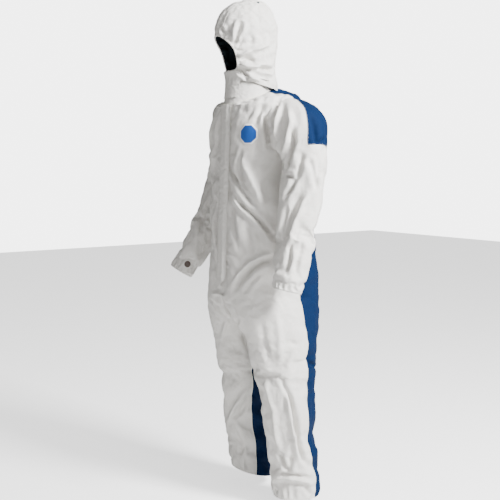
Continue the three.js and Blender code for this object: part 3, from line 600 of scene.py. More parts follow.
class Sewing:
    """Collects grids of points and their faces."""

    def __init__(self):
        self.points, self.faces, self.labels = [], [], []

    def add(self, points):
        first = len(self.points)
        self.points.extend(map(tuple, points))
        return np.arange(first, first + len(points))

    def quads(self, grid, label, flip=False):
        """Faces over a grid of point numbers; label gives the panel for a row and a column."""
        rows, columns = grid.shape
        for i in range(rows - 1):
            for j in range(columns - 1):
                face = (grid[i, j], grid[i, j + 1], grid[i + 1, j + 1], grid[i + 1, j])
                self.faces.append(face[::-1] if flip else face)
                self.labels.append(label(i, j))


TORSO_ROWS = np.concatenate([np.linspace(0, 7, 66), np.linspace(7, 9, 13)[1:], np.linspace(9, 11, 12)[1:]])
FRONT_COLUMNS, BACK_COLUMNS = 30, 26
SLEEVE_FRONT, SLEEVE_BACK = 28, 32


def blue_start(v):
    return np.radians(94 + (58 - 94) * np.clip((np.asarray(v) - 1.6) / 2.2, 0, 1))


def garment():
    sewing = Sewing()
    # Over the shoulders the side seam drifts back, on its way to the neck.
    drift = 6 * np.clip((TORSO_ROWS - 6.8) / 0.9, 0, 1) + 2 * np.clip((TORSO_ROWS - 8.6) / 2.2, 0, 1)
    seam = SIDE_SEAM + np.radians(drift)[:, None]
    front = seam * np.linspace(0, 1, FRONT_COLUMNS + 1)[None, :]
    back = seam + (math.pi - seam) * np.linspace(0, 1, BACK_COLUMNS + 1)[None, 1:]
    half = np.concatenate([front, back], 1)
    around = np.concatenate([-half[:, ::-1][:, :-1], half], 1)  # from the back, round the right, to the back
    count = half.shape[1] - 1
    columns = around.shape[1]
    rows = torso_at(np.broadcast_to(TORSO_ROWS[:, None], around.shape), around)
    grid = np.array([sewing.add(row[:-1]) for row in rows])
    grid = np.concatenate([grid, grid[:, :1]], 1)

    def torso_label(_, j):
        if not count - FRONT_COLUMNS <= j < count + FRONT_COLUMNS:
            return LABEL["torso_back"]
        return LABEL["torso_front_left" if j >= count else "torso_front_right"]

    # The part of the grid inside each armhole is left out.
    centres = (rows[:-1, :-1] + rows[1:, 1:]) / 2
    spread = np.hypot(centres[..., 1] - ARMHOLE[1], centres[..., 2] - ARMHOLE[2])
    hole = (spread < ARMHOLE_RADIUS + 5) & (np.abs(centres[..., 0]) > 120)
    for i in range(len(TORSO_ROWS) - 1):
        for j in range(columns - 1):
            if not hole[i, j]:
                sewing.faces.append((grid[i, j], grid[i, j + 1], grid[i + 1, j + 1], grid[i + 1, j]))
                sewing.labels.append(torso_label(i, j))

    # Each sleeve starts on the torso's surface, round the armhole.
    tree = BVHTree.FromPolygons(
        [Vector(p) for p in sewing.points],
        [
            (grid[i, j], grid[i, j + 1], grid[i + 1, j + 1], grid[i + 1, j])
            for i in range(len(grid) - 1) for j in range(columns - 1)
        ],
    )
    armholes = {}
    for side, name in SIDES:
        places = np.concatenate([np.linspace(2.0, 4, 25), np.linspace(4, 9, 58)[1:]])
        seam = blue_start(places)
        fronts = -math.pi / 2 + (seam[:, None] + math.pi / 2) * np.linspace(0, 1, SLEEVE_FRONT + 1)[None, :]
        backs = seam[:, None] + (1.5 * math.pi - seam[:, None]) * np.linspace(0, 1, SLEEVE_BACK + 1)[None, 1:]
        angles = np.concatenate([fronts, backs], 1)
        body = sleeve_at(side, np.broadcast_to(places[:, None], angles.shape), angles)
        rim = []
        for u in angles[0]:
            y, z = ARMHOLE[1] - ARMHOLE_RADIUS * math.cos(u), ARMHOLE[2] + ARMHOLE_RADIUS * math.sin(u)
            hit = tree.ray_cast(Vector((side * 300, y, z)), Vector((-side, 0, 0)))[0]
            rim.append((hit.x if hit else side * 148, y, z))
        rim = np.array(rim)
        if side < 0:  # this cuff is cut a little longer on its inner side
            longer = 26 * np.clip(places - 8, 0, 1)[:, None] ** 2 * (0.5 + 0.5 * np.cos(angles + math.radians(70)))
            body += longer[..., None] * np.array([-0.05, -0.54, -0.84])
        lead = [rim + (body[0] - rim) * t for t in (0, 1 / 3, 2 / 3)]
        cuff = np.array([sewing.add(row[:-1]) for row in [*lead, *body]])
        cuff = np.concatenate([cuff, cuff[:, :1]], 1)
        cap_rows = 3 + 24

        def label(i, j, name=name):
            if i >= cap_rows:
                return LABEL[name + "_sleeve_low"] if i >= cap_rows + 11 else LABEL[name + "_sleeve_top"]
            return LABEL[name + "_sleeve_top"] if j < SLEEVE_FRONT else LABEL[name + "_shoulder"]

        sewing.quads(cuff, label, flip=side > 0)
        armholes[side] = cuff

    # Each leg shares the torso's lowest ring, and the two share the line under the crotch.
    line_y = np.concatenate([np.linspace(207, -23, 19), np.linspace(-23, front_y(660), 10)[1:]])
    line = sewing.add(np.stack([0 * line_y[1:-1], line_y[1:-1], 0 * line_y[1:-1] + 660], 1))
    legs = {}
    for side, name in SIDES:
        ring = [grid[0, count + side * k] for k in range(count)] + [grid[0, 0]]
        top = np.array(ring + list(line) + [ring[0]])
        points = np.array([sewing.points[k] for k in top[:-1]])
        angle = np.unwrap(np.arctan2(side * points[:, 0] - LEG[0, 0], -(points[:, 1] - LEG[0, 1])))
        angle = np.append(angle, angle[0] + 2 * math.pi)
        # Lower down, the outer seam runs a little further back.
        seams = [angle[0], angle[FRONT_COLUMNS], angle[count], math.radians(297), angle[-1]]
        lower = [angle[0], math.radians(107), angle[count], math.radians(297), angle[-1]]
        places = np.linspace(0, 7, 84)
        body = []
        for v in places[1:]:
            share = min(v / 2, 1)
            stops = [a + (b - a) * share for a, b in zip(seams, lower)]
            turn = np.interp(angle, seams, stops)
            ring = leg_at(side, np.full(len(angle), v), turn)
            if side < 0:  # this hem rides up in front
                ring[:, 2] += 40 * max(0, (v - 4.6) / 2.4) ** 2 * (0.5 + 0.5 * np.cos(turn - math.radians(36)))
            body.append(ring)
        cloth = np.array([top[:-1]] + [sewing.add(row[:-1]) for row in body])
        cloth = np.concatenate([cloth, cloth[:, :1]], 1)
        split = int(np.argmin(np.abs(places - 2)))
        front = lambda j: j < FRONT_COLUMNS or j >= count + 18

        def label(i, j, name=name):
            part = "upper" if i < split else "lower"
            return LABEL[f"{name}_leg_{part}_{'front' if front(j) else 'back'}"]

        sewing.quads(cloth, label, flip=side > 0)
        legs[side] = cloth
    return sewing, grid, armholes, legs


# ---- Hood, collar and flaps, in the same way ----
# Hood rings about its own middle: front z, rear z, y of the front and of the back, half width.
HOOD = np.array(
    [
        (1420, 1390, -73, 108, 86),
        (1447, 1430, -81, 101, 87),
        (1480, 1472, -100, 99, 90),
        (1530, 1530, -112, 107, 94),
        (1590, 1590, -114, 107, 95),
        (1632, 1632, -103, 101, 86),
        (1662, 1662, -82, 88, 70),
        (1684, 1684, -50, 67, 48),
        (1696, 1696, -16, 42, 24),
        (1700, 1700, 8, 18, 4),
    ],
    float,
)
HOOD_TURN, HOOD_Y = math.radians(-17), -48
HOOD_BAND = 46  # half the width of the middle panel
COLLAR = np.array([(1324, 1392, -134, 49, 79), (1362, 1408, -126, 42, 77), (1437, 1437, -116, 32, 73)], float)
# Chin flap rings: z, x, y of its front and back, half width.
CHIN = np.array(
    [(1348, 0, -131.6, 46.8, 80.4), (1385, 1, -127.5, 47, 80.5), (1414, 4, -127, 61, 90.5), (1439, 3, -131.5, 57.5, 92)],
    float,
)


def tilted_ring(ring, power, u):
    front, rear, near, back, half = (ring[..., k] for k in range(5))
    depth = (back - near) / 2
    x, y = oval(half, depth, power, u)
    return np.stack([x, near + depth + y, front + (rear - front) * (y + depth) / (2 * depth)], -1)


def turned(points):
    c, s = math.cos(HOOD_TURN), math.sin(HOOD_TURN)
    x, y, z = np.moveaxis(np.asarray(points, float), -1, 0)
    return np.stack([c * x - s * y, s * x + c * y + HOOD_Y, z], -1)


def face_outline():
    """The face opening's edge in x and z, once round from the middle of the brow."""
    def curve(a, b, c, d):
        t = np.linspace(0, 1, 17)[:-1, None]
        a, b, c, d = map(np.array, (a, b, c, d))
        return (1 - t) ** 3 * a + 3 * (1 - t) ** 2 * t * b + 3 * (1 - t) * t * t * c + t**3 * d

    left = np.concatenate(
        [
            curve((0, 1567), (40, 1567), (75, 1540), (75, 1500)),
            curve((75, 1500), (75, 1466), (68, 1440), (46, 1440)),
            np.linspace((46, 1440), (0, 1440), 6)[:-1],
        ]
    )
    right = left[1:][::-1] * np.array([-1, 1])
    return np.concatenate([left, [(0, 1440)], right])


def sew_hood(sewing):
    """The hood's cloth, with the face opening; gives the rings that are held while it settles."""
    places = np.concatenate([[-0.45, -0.34, -0.22, -0.11], np.linspace(0, 8, 74), [8.4, 8.8]])
    # Below its first ring the hood goes straight on, further down at the nape than under the chin.
    below = np.minimum(places, 0)[:, None]
    ring = np.where(below < 0, HOOD[0] + below * np.array([12, 40, 0, 2, 0]), between(HOOD, places))
    rows = []
    for numbers in ring:
        fine = np.linspace(0, math.pi, 400)
        x, _ = oval(numbers[4], (numbers[3] - numbers[2]) / 2, 2.15, fine)
        widest = int(np.argmax(x))
        if x[widest] > HOOD_BAND + 3:
            a = float(np.interp(HOOD_BAND, x[:widest], fine[:widest]))
            b = float(np.interp(-HOOD_BAND, -x[widest:], fine[widest:]))
        else:
            a, b = math.radians(74), math.radians(106)
        half = np.concatenate([np.linspace(0, a, 9), np.linspace(a, b, 25)[1:], np.linspace(b, math.pi, 9)[1:]])
        rows.append(tilted_ring(numbers, 2.15, np.concatenate([-half[::-1][:-1], half])))
    rows = np.array(rows)
    columns = rows.shape[1] - 1  # 80; the front's middle is column 40
    numbers = np.array([sewing.add(turned(row[:-1])) for row in rows])
    grid = np.concatenate([numbers, numbers[:, :1]], 1)
    crown = int(sewing.add(turned([(0, 13, 1700.5)]))[0])
    outline = face_outline()

    def inside(x, z):
        a, b = outline, np.roll(outline, -1, 0)
        hit = ((a[:, 1] > z) != (b[:, 1] > z)) & (
            x < (b[:, 0] - a[:, 0]) * (z - a[:, 1]) / np.where(b[:, 1] == a[:, 1], 1e-9, b[:, 1] - a[:, 1]) + a[:, 0]
        )
        return hit.sum() % 2 == 1

    holes = {}
    for i in range(len(places) - 1):
        for j in range(columns):
            middle = (rows[i, j] + rows[i + 1, j + 1]) / 2
            if middle[1] < 0 and inside(middle[0], middle[2]):
                holes[i, j] = True
                continue
            band = (j < 8 or j >= columns - 8 or 32 <= j < 48 and middle[2] > 1500 or places[i] > 7.2)
            name = "hood_centre" if band else ("hood_left" if j >= 40 else "hood_right")
            sewing.faces.append((grid[i, j], grid[i, j + 1], grid[i + 1, j + 1], grid[i + 1, j]))
            sewing.labels.append(LABEL[name])
    for j in range(columns):
        sewing.faces.append((grid[-1, j], grid[-1, j + 1], crown))
        sewing.labels.append(LABEL["hood_centre"])
    # The ragged edge of the opening moves on to its outline.
    used = {}
    for i, j in holes:
        for a, b in ((i, j), (i, j + 1), (i + 1, j + 1), (i + 1, j)):
            around = [(a - 1, b - 1), (a - 1, b), (a, b - 1), (a, b)]
            if not all(cell in holes for cell in around):
                used[int(grid[a, b])] = (a, b)
    tree = BVHTree.FromPolygons(
        [Vector(p) for p in rows.reshape(-1, 3)],
        [
            (i * (columns + 1) + j, i * (columns + 1) + j + 1, (i + 1) * (columns + 1) + j + 1, (i + 1) * (columns + 1) + j)
            for i in range(len(rows) - 1) for j in range(columns)
        ],
    )
    closed = np.concatenate([outline, outline[:1]])
    for number, (a, b) in used.items():
        p = rows[a, b][[0, 2]]
        start, along = closed[:-1], np.diff(closed, axis=0)
        t = np.clip(((p - start) * along).sum(1) / (along**2).sum(1), 0, 1)
        near = start + along * t[:, None]
        x, z = near[np.argmin(((near - p) ** 2).sum(1))]
        hit = tree.ray_cast(Vector((x, -300, z)), Vector((0, 1, 0)))[0]
        sewing.points[number] = tuple(turned(np.array([[x, hit.y if hit else rows[a, b][1], z]]))[0])
    return grid, sorted(used)


def flap_stand(x):
    """How far the storm flap stands off the front: it arches over the zip's slider."""
    share = np.clip((25 - np.abs(x)) / 12, 0, 1)
    stand = 0.6 + 7.4 * share * share * (3 - 2 * share)
    return np.where(x >= 15, np.maximum(stand, 1.6), stand) + 1.2


def sew_flat_pieces(sewing):
    """Collar, chin flap and storm flap; gives the point numbers of each."""
    made = {}
    collar = tilted_ring(between(COLLAR, np.linspace(0, 2, 22))[:, None, :], 2.0, np.linspace(-math.pi, math.pi, 97)[None, :])
    numbers = np.array([sewing.add(row[:-1]) for row in collar])
    sewing.quads(np.concatenate([numbers, numbers[:, :1]], 1), lambda i, j: LABEL["collar_left" if j >= 48 else "collar_right"])
    made["collar"] = numbers
    ring = between(CHIN, np.linspace(0, 3, 20))[:, None, :]
    u = np.radians(np.linspace(-46, 30, 22))[None, :]
    x, y = oval(ring[..., 4], (ring[..., 3] - ring[..., 2]) / 2, 2.0, u)
    z = ring[..., 0] + 0 * x
    chin = np.stack([ring[..., 1] + x, (ring[..., 2] + ring[..., 3]) / 2 + y, z], -1)
    made["chin"] = np.array([sewing.add(row) for row in chin])
    sewing.quads(made["chin"], lambda i, j: LABEL["chin_flap"])
    rows = []
    for z in np.concatenate([np.linspace(690, 716, 5), np.linspace(716, 1322, 86)[1:]]):
        half = 30 * np.clip((z - 686) / 30, 0.13, 1)
        x = np.linspace(-half, half, 13)
        rows.append(np.stack([x, front_y(z) - flap_stand(x), z + 0.0 * x + (26 - 26 * half / 30) * np.abs(x) / 30], -1))
    made["flap"] = np.array([sewing.add(row) for row in rows])
    sewing.quads(made["flap"], lambda i, j: LABEL["storm_flap"])
    return made




# ---- Folds that the cloth hangs in: height (mm, below zero for a valley), width, and its line ----
FOLDS = [
    (-16, 9, [(155, -18, 1346), (190, -62, 1299), (194, -78, 1261), (185, -80, 1228)]),  # shoulder crease
    (12, 8, [(202, -38, 1319), (220, -73, 1270), (220, -81, 1223), (208, -64, 1170)]),  # shoulder ridge
    (-8, 8, [(123, -63, 1343), (145, -92, 1306), (142, -103, 1272), (137, -111, 1245)]),  # collar fold
    (-11, 8, [(153, -86, 1279), (159, -81, 1232), (161, -74, 1177)]),  # breast fold
    (9, 9, [(149, -91, 1293), (150, -96, 1249), (156, -88, 1198), (158, -81, 1157)]),  # breast ridge
    (-10, 8, [(208, -81, 1244), (214, -76, 1197), (176, -35, 1157), (225, -60, 1110)]),  # armhole valley
    (-5, 6, [(127, -108, 1310), (118, -119, 1283), (106, -127, 1263)]),  # badge fold
    (10, 12, [(98, -134, 1137), (122, -122, 1089), (141, -102, 1028), (155, -83, 967)]),  # under badge ridge
    (-8, 8, [(98, -134, 1171), (85, -137, 1113), (104, -130, 1055), (129, -114, 1008)]),  # under badge valley
    (-12, 9, [(27, -143, 1109), (67, -141, 1068), (104, -130, 1021), (131, -112, 984)]),  # waist diagonal
    (-12, 9, [(72, -141, 1003), (101, -131, 966), (134, -109, 937), (159, -77, 896), (168, -59, 865)]),  # waist diagonal 2
    (9, 9, [(53, -144, 1006), (85, -138, 973), (120, -120, 940), (150, -91, 900), (164, -68, 859)]),  # waist ridge
    (-8, 8, [(29, -145, 1061), (44, -146, 975), (61, -146, 897), (80, -142, 829)]),  # flap side fold
    (-6, 9, [(104, -130, 909), (120, -121, 858), (126, -116, 804)]),  # belly fold
    (9, 6, [(169, -59, 821), (150, -92, 808), (120, -121, 784), (89, -140, 748), (62, -151, 705)]),  # hip ridge
    (-9, 9, [(168, -63, 798), (146, -97, 781), (121, -121, 753), (93, -139, 714), (67, -150, 681)]),  # hip valley
    (-6, 7, [(150, -92, 750), (127, -117, 716), (107, -132, 681)]),  # hip crease
    (12, 9, [(237, -43, 1304), (274, -60, 1255), (267, -71, 1196), (227, -61, 1137)]),  # sleeve front ridge
    (-12, 8, [(278, -63, 1242), (284, -63, 1189), (267, -67, 1137), (248, -69, 1097)]),  # sleeve front valley
    (-7, 8, [(161, 2, 1343), (214, -51, 1305), (220, -73, 1270)]),  # sleeve cap valley
    (-14, 7, [(293, -66, 1071), (283, -75, 1041), (265, -82, 1015)]),  # elbow notch
    (-9, 7, [(292, -66, 1078), (272, -71, 1084), (250, -70, 1087)]),  # elbow fold 2
    (-8, 9, [(311, -43, 1160), (306, -52, 1117), (299, -63, 1071)]),  # upper sleeve fold
    (-6, 9, [(321, -30, 1146), (330, -16, 1097), (332, -5, 1045)]),  # upper sleeve fold 2
    (-6, 9, [(332, 4, 1140), (333, 3, 1091), (332, -17, 1032)]),  # upper sleeve fold 3
    (-11, 9, [(317, -52, 1038), (303, -74, 986), (292, -91, 928), (281, -107, 869)]),  # forearm fold
    (9, 9, [(326, -38, 1032), (318, -61, 967), (310, -84, 902), (305, -101, 851)]),  # forearm ridge
    (-7, 8, [(282, -83, 992), (278, -92, 946), (268, -101, 900)]),  # forearm fold 2
    (-8, 8, [(310, -93, 870), (310, -105, 819), (307, -118, 768)]),  # forearm fold 3
    (-5, 8, [(329, -62, 876), (329, -78, 819), (328, -94, 768)]),  # forearm fold 4
    (-7, 8, [(-85, -132, 1273), (-125, -123, 1166), (-273, -40, 1054)]),  # far sleeve fold
    (-7, 8, [(-236, -51, 999), (-247, -79, 924), (-235, -100, 862)]),  # far sleeve fold 2
    (6, 8, [(-42, -135, 1306), (-63, -138, 1219), (-92, -136, 1130)]),  # far sleeve ridge
    (-8, 8, [(-44, -146, 989), (-39, -149, 901), (-20, -154, 815)]),  # far front fold
    (9, 8, [(-67, -143, 935), (-44, -150, 848), (-24, -155, 773), (6, -158, 699)]),  # far front ridge
    (-7, 8, [(-57, -150, 635), (-39, -137, 601), (-25, -104, 571)]),  # far belly fold
    (5, 7, [(-19, -112, 591), (-55, -105, 543), (-88, -95, 497)]),  # far hip ridge
    (-9, 10, [(62, -150, 640), (70, -135, 588), (-25, -43, 508), (-24, -17, 448)]),  # crotch fold
    (7, 9, [(-35, -5, 336), (-55, -26, 292), (-82, -38, 245), (-114, -38, 187)]),  # far knee ridge
    (-6, 9, [(-35, 8, 302), (-51, -11, 255), (-76, -25, 201)]),  # far knee fold
    (-5, 9, [(-84, -24, 166), (-86, -14, 109), (-97, -10, 47)]),  # far shin fold
    (-5, 10, [(155, -95, 606), (156, -83, 520), (162, -66, 444)]),  # thigh fold
    (6, 12, [(177, -52, 621), (184, -45, 537), (184, -41, 452)]),  # thigh ridge
    (-4, 8, [(197, -8, 525), (200, 3, 514), (201, 15, 509)]),  # thigh fold 2
    (-14, 8, [(192, -21, 366), (197, -4, 306), (201, 11, 250), (203, 26, 180), (206, 46, 116), (208, 71, 77)]),  # knee crease
    (10, 9, [(185, -33, 369), (191, -16, 307), (195, -2, 244), (198, 13, 174), (202, 27, 121)]),  # knee ridge
    (8, 9, [(135, -72, 392), (142, -60, 338), (152, -47, 276), (153, -35, 199), (156, -24, 136)]),  # inner knee ridge
    (-6, 8, [(184, -37, 404), (188, -27, 355), (183, -23, 279)]),  # inner knee fold
    (-12, 7, [(159, -21, 130), (168, -12, 99), (177, -1, 69)]),  # ankle notch
    (-7, 8, [(191, 6, 133), (184, 2, 98), (180, 1, 66)]),  # ankle notch 2
    (12, 8, [(129, -16, 28), (181, 4, 42), (204, 43, 33), (207, 81, 12)]),  # ankle ridge
    (-10, 7, [(-57, 96, -29), (158, -12, 56), (196, 23, 56), (208, 71, 35)]),  # ankle fold
    (-8, 7, [(206, 51, 18), (207, 59, -4), (207, 72, -27)]),  # ankle fold 2
    (-8, 7, [(110, -10, -17), (136, -13, -19)]),  # ankle fold 3
    (-5, 9, [(199, 74, 447), (192, 92, 433), (172, 123, 422)]),  # back leg fold
    (-6, 9, [(299, -3, 1279), (320, -4, 1229), (328, -2, 1179)]),  # yoke fold
    (-6, 8, [(317, 47, 1207), (326, 21, 1193), (327, -1, 1189)]),  # yoke fold 2
    (-7, 6, [(7, -159, 1595), (13, -159, 1570)]),  # brow gather
    (-7, 6, [(26, -151, 1607), (33, -152, 1572), (33, -151, 1538)]),  # brow gather 2
    (-7, 6, [(46, -139, 1610), (43, -146, 1571), (41, -145, 1530)]),  # brow gather 3
    (-8, 7, [(65, -119, 1612), (62, -130, 1571), (50, -138, 1526)]),  # brow gather 4
    (-7, 6, [(73, -116, 1571), (68, -121, 1543), (57, -130, 1513)]),  # temple gather
    (7, 7, [(77, -106, 1598), (70, -119, 1564), (61, -129, 1529)]),  # temple ridge
    (6, 6, [(53, -132, 1613), (52, -139, 1571), (45, -143, 1533)]),  # brow ridge
    (9, 9, [(59, -124, 1489), (78, -99, 1502), (91, -66, 1517), (95, -21, 1534)]),  # cheek ridge
    (-8, 8, [(54, -124, 1475), (73, -104, 1478), (86, -74, 1472)]),  # cheek fold
    (-8, 7, [(51, -122, 1458), (62, -109, 1451), (75, -88, 1438)]),  # cheek fold 2
    (-10, 8, [(43, -121, 1445), (59, -106, 1431), (71, -90, 1414)]),  # jaw fold
    (9, 9, [(58, -118, 1465), (72, -99, 1458), (84, -73, 1452), (90, -48, 1449)]),  # jaw ridge
    (-11, 7, [(85, -70, 1447), (91, -40, 1446), (80, 8, 1448)]),  # nape fold
    (-9, 6, [(90, -22, 1444), (85, -1, 1435)]),  # nape fold 2
    (9, 9, [(66, -98, 1427), (82, -72, 1410), (72, -17, 1400)]),  # neck ridge
    (-4, 7, [(84, -94, 1557), (86, -88, 1544), (83, -94, 1530)]),  # crown crease
]


def mesh_from(name, points, faces, labels=None):
    mesh = bpy.data.meshes.new(name)
    mesh.from_pydata([tuple(p) for p in points], [], [tuple(int(k) for k in f) for f in faces])
    if labels is not None:
        mesh.polygons.foreach_set("material_index", labels)
    mesh.update()
    return mesh


def shown(name, mesh, *materials):
    obj = bpy.data.objects.new(name, mesh)
    bpy.context.scene.collection.objects.link(obj)
    for material in materials:
        obj.data.materials.append(material)
    return obj


def coordinates(mesh):
    found = np.empty(len(mesh.vertices) * 3)
    mesh.vertices.foreach_get("co", found)
    return found.reshape(-1, 3)


def vertex_normals(mesh):
    found = np.empty(len(mesh.vertices) * 3)
    mesh.vertex_normals.foreach_get("vector", found)
    return found.reshape(-1, 3)


def sewn_mesh(sewing, torso_grid, sleeve_grids):
    mesh = mesh_from("garment", placed(sewing.points), sewing.faces, sewing.labels)
    bm = bmesh.new()
    bm.from_mesh(mesh)
    torso_last = int(torso_grid.max())
    for side in (1, -1):  # each sleeve's first ring is sewn to the torso's ragged armhole
        ring = set(int(k) for k in sleeve_grids[side][0])

        def at_armhole(v):
            y, z = v.co.y * 1000 + NECK_SEAM[1], v.co.z * 1000 + NECK_SEAM[2]
            near = math.hypot(y - ARMHOLE[1], z - ARMHOLE[2]) < ARMHOLE_RADIUS + 40
            return v.index <= torso_last and near and v.co.x * side > 0.1

        edges = [
            e for e in bm.edges
            if e.is_boundary and (all(v.index in ring for v in e.verts) or all(at_armhole(v) for v in e.verts))
        ]
        for face in bmesh.ops.bridge_loops(bm, edges=edges)["faces"]:
            front = face.calc_center_median().y * 1000 + NECK_SEAM[1] < ARMHOLE[1] + 12
            face.material_index = LABEL["torso_back"] if not front else LABEL["torso_front_left" if side > 0 else "torso_front_right"]
    bmesh.ops.recalc_face_normals(bm, faces=bm.faces)
    bm.to_mesh(mesh)
    bm.free()
    mesh.update()
    return mesh


def near_line(points, line):
    """Distance of each point from a line, and how far along it the nearest place is (0 to 1)."""
    line = np.asarray(line, float)
    best, along = np.full(len(points), 1e9), np.zeros(len(points))
    lengths = np.linalg.norm(np.diff(line, axis=0), axis=1)
    total, start = lengths.sum(), 0.0
    for a, b, length in zip(line[:-1], line[1:], lengths):
        t = np.clip((points - a) @ (b - a) / (length**2 + 1e-9), 0, 1)
        away = np.linalg.norm(points - a - t[:, None] * (b - a), axis=1)
        closer = away < best
        best[closer], along[closer] = away[closer], (start + t[closer] * length) / total
        start += length
    return best, along


def fold_height(points, narrow=1.0):
    height = np.zeros(len(points))
    for amount, width, line in FOLDS:
        away, along = near_line(points, line)
        width = width * narrow
        taper = np.clip(np.minimum(along, 1 - along) * 5 + 0.08, 0, 1)
        height += amount * np.exp(-((away / width) ** 2)) * taper
        # The cloth that a fold takes up bulges a little beside it.
        height -= 0.35 * amount * np.exp(-(((away - 2.1 * width) / width) ** 2)) * taper
    return height


def rumple(points, size, seed, octaves=3):
    """Smooth seeded noise from -1 to 1."""
    shift = Vector((seed * 17.3, seed * 5.1, seed * 9.7))
    return np.array([noise.fractal(Vector(p) / size + shift, 0.9, 2.1, octaves) for p in points])


def creases(points, size, seed):
    """Sharp creases between flatter facets: 1 on a crease, 0 away from it."""
    shift = Vector((seed * 11.1, seed * 7.7, seed * 3.3))
    found = np.array([noise.noise(Vector(p) / size + shift) for p in points])
    return np.clip(1 - 3.6 * np.abs(found), 0, 1) ** 1.5


def settle(obj, held, frames, slack):
    """Lets the cloth buckle and crease: it is cut a little larger than the form it hangs on."""
    group = obj.vertex_groups.new(name="held")
    for value in np.unique(np.round(held, 2)):
        group.add([int(i) for i in np.flatnonzero(np.round(held, 2) == value)], float(value), "REPLACE")
    cloth = obj.modifiers.new("settle", "CLOTH")
    settings = cloth.settings
    settings.quality = 5
    settings.mass = 0.02
    settings.tension_stiffness = settings.compression_stiffness = 22
    settings.shear_stiffness = 9
    settings.bending_model = "ANGULAR"
    settings.bending_stiffness = 0.6
    settings.tension_damping = settings.compression_damping = 8
    settings.bending_damping = 0.6
    settings.air_damping = 1.5
    settings.vertex_group_mass = "held"
    settings.pin_stiffness = 1.0
    settings.shrink_min = -slack
    settings.effector_weights.gravity = 0.12
    scene = bpy.context.scene
    cloth.point_cache.frame_start, cloth.point_cache.frame_end = 1, frames
    for f in range(1, frames + 1):
        scene.frame_set(f)
    evaluated = obj.evaluated_get(bpy.context.evaluated_depsgraph_get())
    found = coordinates(evaluated.data)
    obj.modifiers.remove(cloth)
    scene.frame_set(1)
    return found


camera_and_light()
sewing, torso_grid, sleeve_grids, leg_grids = garment()
suit_points = len(sewing.points)
hood_grid, face_edge = sew_hood(sewing)
hood_last = len(sewing.points)
flat_pieces = sew_flat_pieces(sewing)
cloth_mesh = sewn_mesh(sewing, torso_grid, sleeve_grids)
rest = np.array(sewing.points, float)
normals = vertex_normals(cloth_mesh)
hood_part = np.arange(len(rest))
in_hood = (hood_part >= suit_points) & (hood_part < hood_last)
in_suit = hood_part < suit_points
flat_part = hood_part >= hood_last

# How firmly each point is held: 1 at the seams, cuffs and hems, hardly at all elsewhere.
held = np.full(len(rest), 0.06)
held[flat_part] = 0.5
held[flat_pieces["collar"].ravel()] = 1
held[flat_pieces["flap"].ravel()] = 0.75
held[torso_grid[-2:].ravel()] = 1
zip_line = in_suit & (np.abs(rest[:, 0]) < 26) & (rest[:, 1] < -100) & (rest[:, 2] > 690)
held[zip_line] = 0.9
for grid in sleeve_grids.values():
    held[grid[-2:].ravel()] = 1
    held[grid[:2].ravel()] = np.maximum(held[grid[:2].ravel()], 0.3)
for grid in leg_grids.values():
    held[grid[-2:].ravel()] = 1
held[in_hood] = 0.22
held[hood_grid[:3].ravel()] = 0.5
held[face_edge] = 1

# The cloth under the chest label and the wrist patch is kept smooth.
badge_box, patch_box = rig.box("chest_badge"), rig.box("wrist_patch")
BADGE_MIDDLE = (np.array(badge_box[0]) + np.array(badge_box[1])) / 2 * 1000 + NECK_SEAM
PATCH_MIDDLE = (np.array(patch_box[0]) + np.array(patch_box[1])) / 2 * 1000 + NECK_SEAM


def uncalmed(points):
    """0 under the label and the patch, 1 away from them."""
    found = np.clip((np.linalg.norm(points - BADGE_MIDDLE, axis=1) - 36) / 26, 0, 1)
    return found * np.clip((np.linalg.norm(points - PATCH_MIDDLE, axis=1) - 14) / 16, 0, 1)


smooth = uncalmed(rest)
start = rest.copy()
height = fold_height(rest) * np.where(flat_part, 0, 1)
height += np.where(flat_part, 0.5, 2.6) * rumple(rest, 62, 1) + np.where(flat_part, 0.4, 1.2) * rumple(rest, 24, 2)
# Long soft folds run down the limbs and the body.
long = rest * np.array([1, 1, 0.28])
height += np.where(in_suit, 3.2, 0) * rumple(long, 34, 3, 2)

# Gathers at the elastic of the cuffs, the ankles and the face.
for side, grid in sleeve_grids.items():
    for k, amount in enumerate((0.4, 1.6, 2.6, 2.8, 2.4, 1.8, 1.2, 0.7)):
        row = grid[-1 - k][:-1]
        turn = np.arange(len(row)) / len(row) * 2 * math.pi
        height[row] += amount * np.sin(15 * turn + 1.2 * np.sin(3 * turn + side)) - (1.5 if k < 2 else 0)
for side, grid in leg_grids.items():
    for k, amount in enumerate((0.4, 1.8, 3.2, 3.6, 3.2, 2.4, 1.6, 0.9)):
        row = grid[-1 - k][:-1]
        turn = np.arange(len(row)) / len(row) * 2 * math.pi
        height[row] += amount * np.sin(19 * turn + 1.4 * np.sin(4 * turn + side)) - (1.5 if k < 2 else 0)
hood_ids = np.flatnonzero(in_hood)
face = rest[face_edge]
middle = face.mean(0)


def round_face(points):
    """Distance from the face opening's edge, and a phase that swings round it."""
    away = np.linalg.norm(points[:, None] - face[None], axis=2).min(1)
    spoke = points - middle
    angle = np.arctan2(spoke[:, 2], spoke[:, 0] * math.cos(HOOD_TURN) + spoke[:, 1] * math.sin(HOOD_TURN))
    return away, 19 * angle + 2.2 * np.sin(3 * angle + 0.6) + 0.02 * away * np.sin(5 * angle)


